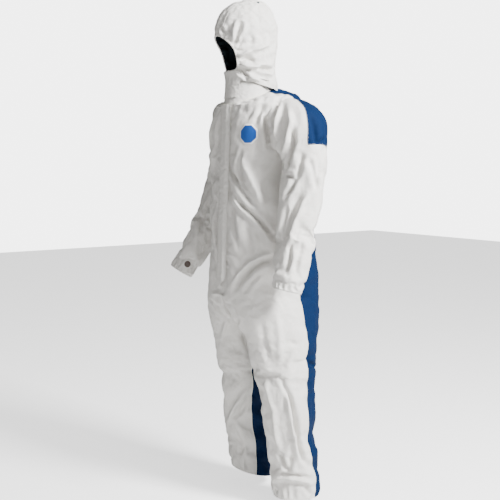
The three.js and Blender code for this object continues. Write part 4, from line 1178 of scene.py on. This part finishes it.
away, swing = round_face(rest[hood_ids])
gather = (np.sin(swing) + 0.5 * np.sin(1.7 * swing + 1)) * np.exp(-away / 34) * (1 - np.exp(-away / 5))
gathers = np.zeros(len(rest))
gathers[hood_ids] = 5.2 * gather
height += gathers
start += normals * (height * smooth)[:, None] * (1 - np.where(held >= 0.9, 0.85, 0))[:, None]
for vertex, point in zip(cloth_mesh.vertices, placed(start)):
    vertex.co = point
cloth = shown("cloth", cloth_mesh)
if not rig.quick():
    settled = settle(cloth, held, 20, 0.05) * 1000 + NECK_SEAM
    moved = settled - rest
    outward = (moved * normals).sum(1)
    # Cloth stays near its form: about 12 mm out of it and 16 mm into it at most.
    kept = np.where(outward > 0, 12 * np.tanh(outward / 12), 16 * np.tanh(outward / 16))
    across = moved - outward[:, None] * normals
    across *= np.minimum(1, 14 / (np.linalg.norm(across, axis=1) + 1e-9))[:, None]
    kept += (0.5 * fold_height(rest) + 0.75 * gathers) * np.where(flat_part | (held >= 0.9), 0, 1)
    kept = kept * smooth + 1.5 * (1 - smooth)
    # The right shoulder falls closer to the arm than its form does.
    away = np.linalg.norm(rest - np.array([-248, -55, 1235]), axis=1)
    kept -= 24 * np.exp(-((away / 85) ** 2)) * in_suit
    away = np.linalg.norm(rest - np.array([-200, -40, 1310]), axis=1)
    kept -= 16 * np.exp(-((away / 58) ** 2)) * in_suit
    settled = rest + across * smooth[:, None] + kept[:, None] * normals
    for vertex, point in zip(cloth_mesh.vertices, placed(settled)):
        vertex.co = point
cloth_mesh.update()
coarse_points, coarse_normals = coordinates(cloth_mesh), vertex_normals(cloth_mesh)
free = np.where(flat_part | (held >= 0.9), 0.0, 1.0)
for grid in [*sleeve_grids.values(), *leg_grids.values()]:
    free[grid[-7:].ravel()] = 0
free[hood_grid[-6:].ravel()] = 0  # the crown
carried = (("rest_place", rest), ("freedom", np.stack([free, in_hood * 1.0, 0 * free], 1)))
for name, values in carried:
    cloth_mesh.attributes.new(name, "FLOAT_VECTOR", "POINT").data.foreach_set("vector", values.ravel())

# ---- The settled cloth is made finer and parted into its panels ----
finer = cloth.modifiers.new("finer", "SUBSURF")
finer.levels = finer.render_levels = 1
fine = bpy.data.meshes.new_from_object(cloth.evaluated_get(bpy.context.evaluated_depsgraph_get()))
bpy.data.objects.remove(cloth)
fine_points, fine_normals = coordinates(fine), vertex_normals(fine)
fine_labels = np.empty(len(fine.polygons), int)
fine.polygons.foreach_get("material_index", fine_labels)
fine_faces = np.empty(len(fine.loops), int)
fine.loops.foreach_get("vertex_index", fine_faces)
fine_faces = fine_faces.reshape(-1, 4)
fine_points += fine_normals * (0.0004 * rumple(fine_points * 1000, 9, 4, 2))[:, None]


def carried_over(name):
    found = np.empty(len(fine.vertices) * 3)
    fine.attributes[name].data.foreach_get("vector", found)
    return found.reshape(-1, 3)


# The finer mesh takes the sharp part of the folds, and the creases of a sheet that was folded flat.
fine_rest = carried_over("rest_place")
fine_free, hood_share = carried_over("freedom")[:, :2].T
sharp = 0.34 * fold_height(fine_rest, 0.6)
patchy = np.clip(0.6 + rumple(fine_rest, 130, 5, 2), 0.15, 1.2)
sharp -= (2.0 * creases(fine_rest, 62, 6) + 1.0 * creases(fine_rest, 27, 7)) * patchy
ids = np.flatnonzero(hood_share > 0.5)
away, swing = round_face(fine_rest[ids])
sharp[ids] += 2.8 * (0.5 - np.abs(np.sin(swing))) * np.exp(-away / 42) * (1 - np.exp(-away / 4))
sharp *= fine_free * uncalmed(fine_rest)
fine_points += fine_normals * (sharp / 1000)[:, None]
fine.vertices.foreach_set("co", fine_points.ravel())
fine.update()
fine_normals = vertex_normals(fine)


def walled(name, points, normals, faces, material, wall=0.0009):
    """A closed sheet with a wall: the points are its outside, and the normals those of the whole garment."""
    used, flat = np.unique(faces, return_inverse=True)
    faces = flat.reshape(faces.shape)
    outer, around = points[used], normals[used]
    count = len(used)
    inner = outer - around * wall
    edges = {}
    for face in faces:
        for a, b in zip(face, np.roll(face, -1)):
            edges[(int(a), int(b))] = True
    rim = [(b, a, a + count, b + count) for a, b in edges if (b, a) not in edges]
    all_faces = [tuple(f) for f in faces] + [tuple(f[::-1] + count) for f in faces] + rim
    mesh = mesh_from(name, np.concatenate([outer, inner]), all_faces)
    mesh.polygons.foreach_set("use_smooth", [True] * len(mesh.polygons))
    loops = [around[k] for f in faces for k in f] + [-around[k] for f in faces for k in f[::-1]]
    loops += [(0, 0, 0)] * (4 * len(rim))
    mesh.normals_split_custom_set([tuple(n) for n in loops])
    return shown(name, mesh, material)


def panel(name, *labels, material=WHITE, wall=0.0009):
    chosen = np.isin(fine_labels, [LABEL[label] for label in labels])
    return walled(name, fine_points, fine_normals, fine_faces[chosen], material, wall)


def area_of(obj):
    return sum(p.area for p in obj.data.polygons) / 2


def cut(obj, width, length, held, rests_on=()):
    """Declares a panel's flat cut. Its area is the panel's own, less the share that folds take."""
    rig.sheet(obj, flat=(width, length), held=held, rests_on=rests_on, area=min(area_of(obj), 0.999 * width * length))


def at(x, y, z):
    return tuple(placed([(x, y, z)])[0])


torso_pieces = {
    "front_left_cloth": (("torso_front_left",), WHITE, ("front_left_panel",), (0.42, 0.80)),
    "front_right_cloth": (("torso_front_right",), WHITE, ("front_right_panel",), (0.42, 0.80)),
    "back_cloth": (("torso_back",), BLUE, ("back_panel",), (0.56, 0.86)),
}
for name, (labels, material, nodes, flat) in torso_pieces.items():
    piece = panel(name, *labels, material=material)
    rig.ride(piece, "torso")
    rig.replaces(piece, *nodes)
    cut(piece, *flat, "hung")

for side, name in SIDES:
    shoulder = (at(side * 168, 18, 1241), at(side * 205, 18, 1241))
    y, z = (-13, 1004) if side > 0 else (14, 1006)
    low = np.array([0, -math.sin(math.radians(12)), -math.cos(math.radians(12))])
    elbow = (at(side * 262, y - low[1] * 30, z - low[2] * 30), at(side * 262, y + low[1] * 30, z + low[2] * 30))
    hip, knee = (at(side * 100, 20, 668), at(side * 100, 20, 560)), (at(side * 111, 38, 475), at(side * 111, 38, 385))
    for piece_name, label, material, nodes, bodies, span, flat in (
        ("sleeve_cloth", "sleeve_top", WHITE, ("sleeve_cap", "upper_sleeve"), ("torso", "sleeve"), shoulder, (0.5, 0.42)),
        ("shoulder_cloth", "shoulder", BLUE, ("shoulder_panel",), ("torso", "sleeve"), shoulder, (0.32, 0.30)),
        ("forearm_cloth", "sleeve_low", WHITE, ("elbow", "forearm"), ("sleeve", "forearm_part"), elbow, (0.46, 0.46)),
        ("thigh_front_cloth", "leg_upper_front", WHITE, ("hip_front", "thigh_front"), ("torso", "thigh"), hip, (0.42, 0.24)),
        ("thigh_back_cloth", "leg_upper_back", BLUE, ("hip_back", "thigh_back"), ("torso", "thigh"), hip, (0.46, 0.24)),
        ("shin_front_cloth", "leg_lower_front", WHITE, ("knee_front", "shin_front"), ("thigh", "lower_leg"), knee, (0.32, 0.60)),
        ("shin_back_cloth", "leg_lower_back", BLUE, ("knee_back", "shin_back"), ("thigh", "lower_leg"), knee, (0.34, 0.60)),
    ):
        piece = panel(f"{name}_{piece_name}", f"{name}_{label}", material=material)
        whole = [body if body == "torso" else f"{name}_{body}" for body in bodies]
        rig.blend(piece, *whole, *span)
        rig.replaces(piece, *(f"{name}_{node}" for node in nodes))
        cut(piece, *flat, "hung")

for name, material, node, flat in (
    ("hood_centre", WHITE, "hood_centre_panel", (0.2, 0.42)),
    ("hood_left", WHITE, "hood_left_panel", (0.3, 0.34)),
    ("hood_right", WHITE, "hood_right_panel", (0.3, 0.34)),
):
    piece = panel(name + "_cloth", name, material=material)
    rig.ride(piece, "hood")
    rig.replaces(piece, node)
    cut(piece, *flat, "hung")
# Above the bottom of the face opening, a near-black sheet just inside the hood stands for the shade in the hood's
# hollow: painted shade.
hood_labels = [LABEL["hood_centre"], LABEL["hood_left"], LABEL["hood_right"]]
chosen = np.isin(fine_labels, hood_labels)
chosen &= fine_points[fine_faces].mean(1)[:, 2] > at(0, 0, 1442)[2]
lining = walled("hood_shade_lining_cloth", fine_points - 0.0028 * fine_normals, fine_normals, fine_faces[chosen], HOOD_SHADE_PAINT, 0.0006)
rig.ride(lining, "hood")
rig.replaces(lining, "hood_lining")
cut(lining, 0.56, 0.5, "hung")
for side, name in SIDES:
    piece = panel(f"collar_{name}_cloth", f"collar_{name}")
    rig.ride(piece, "torso")
    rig.replaces(piece, f"collar_{name}")
    cut(piece, 0.22, 0.11, "hung")
piece = panel("chin_flap_cloth", "chin_flap")
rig.ride(piece, "chin_flap_part")
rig.replaces(piece, "chin_flap")
cut(piece, 0.12, 0.1, "hung")
piece = panel("storm_flap_cloth", "storm_flap")
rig.ride(piece, "flap")
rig.replaces(piece, "storm_flap")
cut(piece, 0.078, 0.64, "hung")

# ---- Seams: a bound edge along each join, with a row of stitches beside it ----
def seam_lines(first, second):
    """The lines where panels of the first kind meet panels of the second, as lists of point numbers."""
    firsts, seconds = {LABEL[k] for k in first}, {LABEL[k] for k in second}
    sides = {}
    for k in np.flatnonzero(np.isin(fine_labels, list(firsts | seconds))):
        face = fine_faces[k]
        for a, b in zip(face, np.roll(face, -1)):
            sides.setdefault((min(a, b), max(a, b)), []).append(int(fine_labels[k]))
    links = {}
    for (a, b), labels in sides.items():
        if len(labels) == 2 and (
            (labels[0] in firsts and labels[1] in seconds) or (labels[1] in firsts and labels[0] in seconds)
        ) and labels[0] != labels[1]:
            links.setdefault(a, []).append(b)
            links.setdefault(b, []).append(a)
    lines = []
    while links:
        ends = [k for k, near in links.items() if len(near) == 1]
        current = ends[0] if ends else next(iter(links))
        line = [current]
        while links.get(current):
            following = links[current].pop()
            links[following].remove(current)
            if not links[current]:
                del links[current]
            current = following
            line.append(current)
        links = {k: near for k, near in links.items() if near}
        if len(line) > 6:
            lines.append(np.array(line))
    return lines


def eased(points, closed):
    points = np.asarray(points, float).copy()
    for _ in range(3):
        inner = (np.roll(points, 1, 0) + 2 * points + np.roll(points, -1, 0)) / 4
        if not closed:
            inner[0], inner[-1] = points[0], points[-1]
        points = inner
    return points


def bound_edge(lines, half=0.0017, rise=0.0012):
    """Points and faces of a low rounded band over each line of (points, normals, closed)."""
    points, faces = [], []
    profile = [(-1, -0.5), (-0.85, 0.45), (-0.4, 0.95), (0.4, 0.95), (0.85, 0.45), (1, -0.5)]
    for middle, up, closed in lines:
        along = np.gradient(middle, axis=0) if not closed else np.roll(middle, -1, 0) - np.roll(middle, 1, 0)
        along /= np.linalg.norm(along, axis=1)[:, None] + 1e-12
        across = np.cross(along, up)
        across /= np.linalg.norm(across, axis=1)[:, None] + 1e-12
        first, count, size = len(points), len(middle), len(profile)
        for k in range(count):
            points += [middle[k] + across[k] * (a * half) + up[k] * (b * rise) for a, b in profile]
        for k in range(count if closed else count - 1):
            a, b = first + k * size, first + (k + 1) % count * size
            faces += [(a + j, a + (j + 1) % size, b + (j + 1) % size, b + j) for j in range(size)]
        if not closed:
            faces.append(tuple(first + j for j in range(size))[::-1])
            faces.append(tuple(first + (count - 1) * size + j for j in range(size)))
    return points, faces


def tidy_mesh(name, points, faces, material):
    mesh = mesh_from(name, points, faces)
    bm = bmesh.new()
    bm.from_mesh(mesh)
    bmesh.ops.recalc_face_normals(bm, faces=bm.faces)
    bm.to_mesh(mesh)
    bm.free()
    mesh.polygons.foreach_set("use_smooth", [True] * len(mesh.polygons))
    return shown(name, mesh, material)


def instance_tree(name, make_line, tooth, fields):
    """A tree that puts a small solid at even steps along a line; `fields` are its named sizes."""
    tree = bpy.data.node_groups.new(name, "GeometryNodeTree")
    tree.interface.new_socket("Geometry", in_out="INPUT", socket_type="NodeSocketGeometry")
    for label, value in fields:
        socket = tree.interface.new_socket(label, in_out="INPUT", socket_type="NodeSocketFloat")
        socket.default_value = value
    tree.interface.new_socket("Finish", in_out="INPUT", socket_type="NodeSocketMaterial")
    tree.interface.new_socket("Geometry", in_out="OUTPUT", socket_type="NodeSocketGeometry")
    nodes, links = tree.nodes, tree.links
    given, result = nodes.new("NodeGroupInput"), nodes.new("NodeGroupOutput")
    curve = nodes.new("GeometryNodeMeshToCurve")
    links.new(given.outputs["Geometry"], curve.inputs[0])
    steps = nodes.new("GeometryNodeResampleCurve")
    if hasattr(steps, "mode"):
        steps.mode = "LENGTH"
    links.new(curve.outputs[0], steps.inputs["Curve"])
    links.new(given.outputs["Spacing"], steps.inputs["Length"])
    tangent = nodes.new("GeometryNodeInputTangent")
    up = nodes.new("GeometryNodeInputNamedAttribute")
    up.data_type = "FLOAT_VECTOR"
    up.inputs["Name"].default_value = "outward"
    aim = nodes.new("FunctionNodeAxesToRotation")
    aim.primary_axis, aim.secondary_axis = "X", "Z"
    links.new(tangent.outputs[0], aim.inputs[0])
    links.new(up.outputs["Attribute"], aim.inputs[1])
    solid = tooth(tree, given)
    place = nodes.new("GeometryNodeInstanceOnPoints")
    links.new(steps.outputs[0], place.inputs["Points"])
    links.new(solid, place.inputs["Instance"])
    links.new(aim.outputs[0], place.inputs["Rotation"])
    real = nodes.new("GeometryNodeRealizeInstances")
    links.new(place.outputs[0], real.inputs[0])
    finish = nodes.new("GeometryNodeSetMaterial")
    links.new(real.outputs[0], finish.inputs["Geometry"])
    links.new(given.outputs["Finish"], finish.inputs["Material"])
    links.new(finish.outputs[0], result.inputs["Geometry"])
    return tree


def sized(tree, given, mesh_socket, names):
    size = tree.nodes.new("ShaderNodeCombineXYZ")
    for socket, name in zip(size.inputs, names):
        tree.links.new(given.outputs[name], socket)
    scaled = tree.nodes.new("GeometryNodeTransform")
    tree.links.new(mesh_socket, scaled.inputs["Geometry"])
    tree.links.new(size.outputs[0], scaled.inputs["Scale"])
    return scaled.outputs[0]


def stitch_solid(tree, given):
    ball = tree.nodes.new("GeometryNodeMeshUVSphere")
    ball.inputs["Segments"].default_value = 6
    ball.inputs["Rings"].default_value = 4
    ball.inputs["Radius"].default_value = 1.0
    return sized(tree, given, ball.outputs["Mesh"], ("Stitch Half Length", "Thread Radius", "Thread Radius"))


def tooth_solid(tree, given):
    peg = tree.nodes.new("GeometryNodeMeshCylinder")
    peg.inputs["Vertices"].default_value = 8
    peg.inputs["Radius"].default_value = 1.0
    peg.inputs["Depth"].default_value = 2.0
    return sized(tree, given, peg.outputs["Mesh"], ("Tooth Half Length", "Tooth Half Width", "Tooth Half Depth"))


STITCHES = instance_tree(
    "stitch_row", None, stitch_solid, [("Spacing", 0.0042), ("Stitch Half Length", 0.0014), ("Thread Radius", 0.00032)]
)
TEETH = instance_tree(
    "zip_tooth_row", None, tooth_solid,
    [("Spacing", 0.003), ("Tooth Half Length", 0.0009), ("Tooth Half Width", 0.0013), ("Tooth Half Depth", 0.0009)],
)


def along_lines(name, lines, tree, values):
    """Runs a tree along lines of (points, normals) and gives the plain mesh."""
    points = np.concatenate([line[0] for line in lines])
    ups = np.concatenate([line[1] for line in lines])
    edges, first = [], 0
    for line in lines:
        edges += [(first + k, first + k + 1) for k in range(len(line[0]) - 1)]
        first += len(line[0])
    mesh = bpy.data.meshes.new(name)
    mesh.from_pydata([tuple(p) for p in points], edges, [])
    mesh.attributes.new("outward", "FLOAT_VECTOR", "POINT").data.foreach_set("vector", ups.astype(np.float32).ravel())
    carrier = shown(name + "_line", mesh)
    maker = carrier.modifiers.new("row", "NODES")
    maker.node_group = tree
    for item in tree.interface.items_tree:
        if item.in_out == "INPUT" and item.name in values:
            maker[item.identifier] = values[item.name]
    made = bpy.data.meshes.new_from_object(carrier.evaluated_get(bpy.context.evaluated_depsgraph_get()))
    bpy.data.objects.remove(carrier)
    made.name = name
    if not made.materials:
        made.materials.append(values["Finish"])
    return shown(name, made)


cloth_tree = BVHTree.FromPolygons([Vector(p) for p in fine_points], [tuple(int(k) for k in f) for f in fine_faces])


def beside(middle, up, offset, lift=0.0003):
    """A line moved sideways over the cloth."""
    along = np.gradient(middle, axis=0)
    along /= np.linalg.norm(along, axis=1)[:, None] + 1e-12
    across = np.cross(along, up)
    moved, ups = [], []
    for p, a, n in zip(middle, across, up):
        hit, normal, _, _ = cloth_tree.find_nearest(Vector(p + a * offset))
        normal = np.array(normal) if np.dot(normal, n) > 0 else -np.array(normal)
        moved.append(np.array(hit) + normal * lift)
        ups.append(normal)
    return np.array(moved), np.array(ups)


def seam(name, first, second, place, binding=SEAM_TAPE, rows=(0.0042,), half=0.0017):
    bands, stitches = [], []
    for line in seam_lines(first, second):
        closed = line[0] == line[-1]
        line = line[:-1] if closed else line
        middle, up = eased(fine_points[line], closed), eased(fine_normals[line], closed)
        up /= np.linalg.norm(up, axis=1)[:, None] + 1e-12
        bands.append((middle, up, closed))
        for offset in rows:
            stitches.append(beside(middle, up, offset))
    if not bands:
        print("no seam for", name)
        return
    for piece in (
        tidy_mesh(name + "_binding", *bound_edge(bands, half), binding),
        along_lines(name + "_stitches", stitches, STITCHES, {"Spacing": 0.0042, "Finish": THREAD}),
    ):
        place(piece)


def rides(body):
    return lambda piece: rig.ride(piece, body)


def blends(a, b, span):
    return lambda piece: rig.blend(piece, a, b, *span)


for side, name in SIDES:
    shoulder = (at(side * 168, 18, 1241), at(side * 205, 18, 1241))
    hip, knee = (at(side * 100, 20, 668), at(side * 100, 20, 560)), (at(side * 111, 38, 475), at(side * 111, 38, 385))
    seam(f"{name}_side_seam", [f"torso_front_{name}"], ["torso_back"], rides("torso"))
    seam(
        f"{name}_shoulder_seam", [f"{name}_shoulder"], [f"{name}_sleeve_top"],
        blends("torso", f"{name}_sleeve", shoulder),
    )
    seam(
        f"{name}_thigh_seam", [f"{name}_leg_upper_front"], [f"{name}_leg_upper_back"],
        blends("torso", f"{name}_thigh", hip),
    )
    seam(
        f"{name}_shin_seam", [f"{name}_leg_lower_front"], [f"{name}_leg_lower_back"],
        blends(f"{name}_thigh", f"{name}_lower_leg", knee),
    )
seam("hood_seam", ["hood_centre", "hood_left"], ["hood_left", "hood_right", "hood_centre"], rides("hood"), WHITE, half=0.0011)

# Rows of stitches along the edges of the storm flap and the chin flap.
for name, body, columns in (("flap", "flap", (1, 11)), ("chin", "chin_flap_part", (1, 2, 19, 20))):
    numbers = flat_pieces[name]
    lines = []
    for column in columns:
        chosen_row = numbers[4:, column] if name == "flap" else numbers[:, column]
        up = coarse_normals[chosen_row]
        up *= np.where(up[:, 1:2] > 0, -1, 1)
        lines.append((coarse_points[chosen_row] + up * 0.0004, up))
    rows = along_lines(f"{name}_stitches", lines, STITCHES, {"Spacing": 0.0042, "Finish": THREAD})
    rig.ride(rows, body)

# ---- The elastic edge of the face opening, and the bands in the cuffs, ankles and waist ----
edge_points = placed(np.array(sewing.points))[face_edge]
lookup = KDTree(len(fine_points))
for k, p in enumerate(fine_points):
    lookup.insert(Vector(p), k)
lookup.balance()
middle = edge_points.mean(0)
angle = np.arctan2(edge_points[:, 2] - middle[2], edge_points[:, 0] - middle[0])
ring = eased(edge_points[np.argsort(angle)], True)
steps = np.linspace(0, len(ring), 361)[:-1]
ring = np.stack([np.interp(steps, np.arange(len(ring) + 1), np.append(ring[:, k], ring[0, k])) for k in range(3)], 1)
ring = eased(ring, True)
along = np.roll(ring, -1, 0) - np.roll(ring, 1, 0)
along /= np.linalg.norm(along, axis=1)[:, None]
inward = middle - ring
inward -= (inward * along).sum(1)[:, None] * along
inward /= np.linalg.norm(inward, axis=1)[:, None]
ahead = np.cross(along, inward)
turn = np.linspace(0, 2 * math.pi, 13)[:-1]
points, faces = [], []
for k in range(len(ring)):
    pleat = 1 + 0.2 * math.sin(k * 0.9 + 1.3 * math.sin(k * 0.11)) + 0.12 * math.sin(k * 0.37)
    for t in turn:
        points.append(ring[k] + (inward[k] * math.cos(t) * 0.0032 + ahead[k] * math.sin(t) * 0.0026) * pleat)
for k in range(len(ring)):
    for j in range(12):
        a, b = k * 12, (k + 1) % len(ring) * 12
        faces.append((a + j, a + (j + 1) % 12, b + (j + 1) % 12, b + j))
face_hem = tidy_mesh("face_hem", points, faces, WHITE)
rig.ride(face_hem, "hood")
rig.replaces(face_hem, "face_elastic")


def elastic_band(name, rows, inset, pleats):
    """A pleated band just inside rows of the garment (points in millimetres)."""
    middle = rows.mean((0, 1))
    count = rows.shape[1]
    fine_rows = []
    for row in rows:
        steps = np.linspace(0, count, 241)[:-1]
        row = np.stack([np.interp(steps, np.arange(count + 1), np.append(row[:, k], row[0, k])) for k in range(3)], 1)
        away = row - middle
        away -= (away @ (rows[0] - rows[-1]).mean(0))[:, None] * (rows[0] - rows[-1]).mean(0) / (
            np.linalg.norm((rows[0] - rows[-1]).mean(0)) ** 2
        )
        away /= np.linalg.norm(away, axis=1)[:, None]
        ripple = 0.7 * np.sin(np.arange(240) / 240 * 2 * math.pi * pleats)
        fine_rows.append((row, away, ripple))
    points, faces = [], []
    for wall in (0, 1.1):
        for row, away, ripple in fine_rows:
            points += list(placed(row - away * (inset + wall + ripple[:, None])))
    size, levels = 240, len(rows)
    for wall in (0, 1):
        for i in range(levels - 1):
            for j in range(size):
                a = (wall * levels + i) * size
                faces.append((a + j, a + (j + 1) % size, a + size + (j + 1) % size, a + size + j))
    for i in (0, levels - 1):
        for j in range(size):
            a, b = i * size, (levels + i) * size
            faces.append((a + j, a + (j + 1) % size, b + (j + 1) % size, b + j))
    return tidy_mesh(name, points, faces, ELASTIC)


for side, name in SIDES:
    grid = sleeve_grids[side][:, :-1]
    band = elastic_band(f"{name}_cuff_elastic_band", rest[grid[-4:-1]], 5.2, 30)
    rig.ride(band, f"{name}_forearm_part")
    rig.replaces(band, f"{name}_cuff_elastic")
    grid = leg_grids[side][:, :-1]
    band = elastic_band(f"{name}_ankle_elastic_band", rest[grid[-4:-1]], 6.2, 36)
    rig.ride(band, f"{name}_lower_leg")
    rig.replaces(band, f"{name}_ankle_elastic")
waist = [int(np.argmin(np.abs(TORSO_ROWS - v))) for v in (2.9, 3.0, 3.1)]
count = (torso_grid.shape[1] - 1) // 2
keep = np.r_[0 : count - 5, count + 5 : torso_grid.shape[1] - 1]
band = elastic_band("waist_elastic_band", rest[torso_grid[waist][:, keep]], 19, 60)
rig.ride(band, "torso")
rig.replaces(band, "waist_elastic")

# ---- The ring of cloth between the hood and the collar ----
u = np.linspace(-math.pi, math.pi, 97)[:-1]
outer = turned(tilted_ring(between(HOOD, np.full(96, 0.3)), 2.15, u))
inner = tilted_ring(between(COLLAR, np.full(96, 1.55)), 2.0, u + HOOD_TURN)
points, faces = [], []
for wall in (0, 0.9):
    for k in range(6):
        share = 0.02 + 0.92 * k / 5
        row = inner + (outer - inner) * share + np.array([0, 0, wall + 1.5 * math.sin(math.pi * share)])
        points += list(placed(row))
for wall in (0, 1):
    for i in range(5):
        for j in range(96):
            a = (wall * 6 + i) * 96
            faces.append((a + j, a + (j + 1) % 96, a + 96 + (j + 1) % 96, a + 96 + j))
for i in (0, 5):
    for j in range(96):
        a, b = i * 96, (6 + i) * 96
        faces.append((a + j, a + (j + 1) % 96, b + (j + 1) % 96, b + j))
gusset = tidy_mesh("hood_gusset_cloth", points, faces, WHITE)
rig.ride(gusset, "torso")
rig.replaces(gusset, "hood_gusset")

# ---- Neck seam: a light piping round the collar ----
ring = np.array([lookup.find(Vector(p))[1] for p in placed(rest[torso_grid[-1][:-1]])])
middle, up = eased(fine_points[ring], True), eased(fine_normals[ring], True)
up /= np.linalg.norm(up, axis=1)[:, None]
piping = tidy_mesh("neck_piping", *bound_edge([(middle, up, True)], 0.0022, 0.0022), SEAM_TAPE)
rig.ride(piping, "torso")

# ---- Zip: two rows of teeth on woven tapes ----
heights = np.linspace(714, 1310, 60)
for side, name in SIDES:
    line = placed(np.stack([0 * heights + side * 0.9, front_y(heights) + 1.0, heights + side * 0.75], 1))
    teeth = along_lines(
        f"zip_teeth_{name}", [(line, np.tile([0.0, -1.0, 0.0], (60, 1)))], TEETH, {"Spacing": 0.003, "Finish": ZIP_PLASTIC}
    )
    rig.ride(teeth, "torso")
    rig.replaces(teeth, f"zip_chain_{name}")
    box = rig.box(f"zip_tape_{name}")
    x = np.linspace(box[0][0] * 1000, box[1][0] * 1000, 7)
    points, faces = [], []
    for wall in (0, 0.7):
        for z in heights:
            y = front_y(z) + 2.6 + wall + 0.12 * np.sin(z / 3.1 + x)
            points += list(placed(np.stack([x, y, 0 * x + z], 1)))
    for wall in (0, 1):
        for i in range(59):
            for j in range(6):
                a = (wall * 60 + i) * 7 + j
                faces.append((a, a + 1, a + 8, a + 7))
    far = 60 * 7
    for i in range(59):
        for j in (0, 6):
            a = i * 7 + j
            faces.append((a, a + 7, a + 7 + far, a + far))
    for i in (0, 59):
        for j in range(6):
            a = i * 7 + j
            faces.append((a, a + 1, a + 1 + far, a + far))
    tape = tidy_mesh(f"zip_tape_cloth_{name}", points, faces, ZIP_WEAVE)
    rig.ride(tape, "torso")
    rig.replaces(tape, f"zip_tape_{name}")

# ---- The chest label and the wrist patch lie on the cloth ----
def laid_disc(name, middle, radius, corners, lift, materials, border):
    """A thin plate laid on the cloth; corners is how many flats its outline has, or 0 for a circle."""
    hit, normal, _, _ = cloth_tree.find_nearest(Vector(placed([middle])[0]))
    normal = np.array(normal)
    up = np.array([0, 0, 1.0]) - normal[2] * normal
    up /= np.linalg.norm(up)
    right = np.cross(up, normal)
    hit = np.array(hit)
    segments, shares = 96, [0, 0.2, 0.4, 0.6, 0.78, border, border + 0.02, 1.0]
    points = []
    for wall in (0, 1):
        for share in shares[1:]:
            for k in range(segments):
                a = 2 * math.pi * k / segments
                reach = radius * share
                if corners:
                    part = 2 * math.pi / corners
                    reach /= math.cos((a + part / 2) % part - part / 2)
                p = hit + (right * math.sin(a) + up * math.cos(a)) * reach
                found = cloth_tree.ray_cast(Vector(p + normal * 0.03), Vector(-normal))[0]
                found = np.array(found) if found is not None else p
                p = found + normal * (lift * (1 - wall) - 0.0003 * wall)
                points.append(p)
    top = hit + normal * lift
    rings = len(shares) - 1
    faces, finish = [], []
    points += [top, hit - normal * 0.0003]
    for wall in (0, 1):
        for k in range(segments):
            a = wall * rings * segments
            faces.append((len(points) - 2 + wall, a + k, a + (k + 1) % segments))
            finish.append(0)
            for i in range(rings - 1):
                b = a + i * segments
                faces.append((b + k, b + (k + 1) % segments, b + segments + (k + 1) % segments, b + segments + k))
                finish.append(1 if shares[i + 1] >= border - 1e-6 else 0)
    for k in range(segments):
        a, b = (rings - 1) * segments, (2 * rings - 1) * segments
        faces.append((a + k, a + (k + 1) % segments, b + (k + 1) % segments, b + k))
        finish.append(1)
    obj = tidy_mesh(name, points, faces, materials[0])
    obj.data.materials.append(materials[1])
    obj.data.polygons.foreach_set("material_index", finish)
    return obj


badge = laid_disc("chest_label", BADGE_MIDDLE, 0.034, 8, 0.0011, (BADGE_BLUE, BADGE_WHITE), 0.88)
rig.ride(badge, "torso")
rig.replaces(badge, "chest_badge")
patch = laid_disc("wrist_mark", PATCH_MIDDLE, 0.012, 0, 0.0009, (PATCH_GREY, PATCH_GREY), 0.9)
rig.ride(patch, "right_forearm_part")
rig.replaces(patch, "wrist_patch")

for node, material in (
    ("zip_slider", SLIDER_METAL), ("zip_pull", SLIDER_METAL), ("zip_top_stop", ZIP_PLASTIC),
    ("zip_bottom_stop", ZIP_PLASTIC), ("flap_adhesive", TAPE_PAPER),
):
    mesh = bpy.data.objects[node].data
    mesh.materials.clear() if not mesh.materials else None
    if mesh.materials:
        mesh.materials[0] = material
    else:
        mesh.materials.append(material)

json.dump([[list(c) for c in cad_box], [list(c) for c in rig.bounds()]], open("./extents.json", "w"))
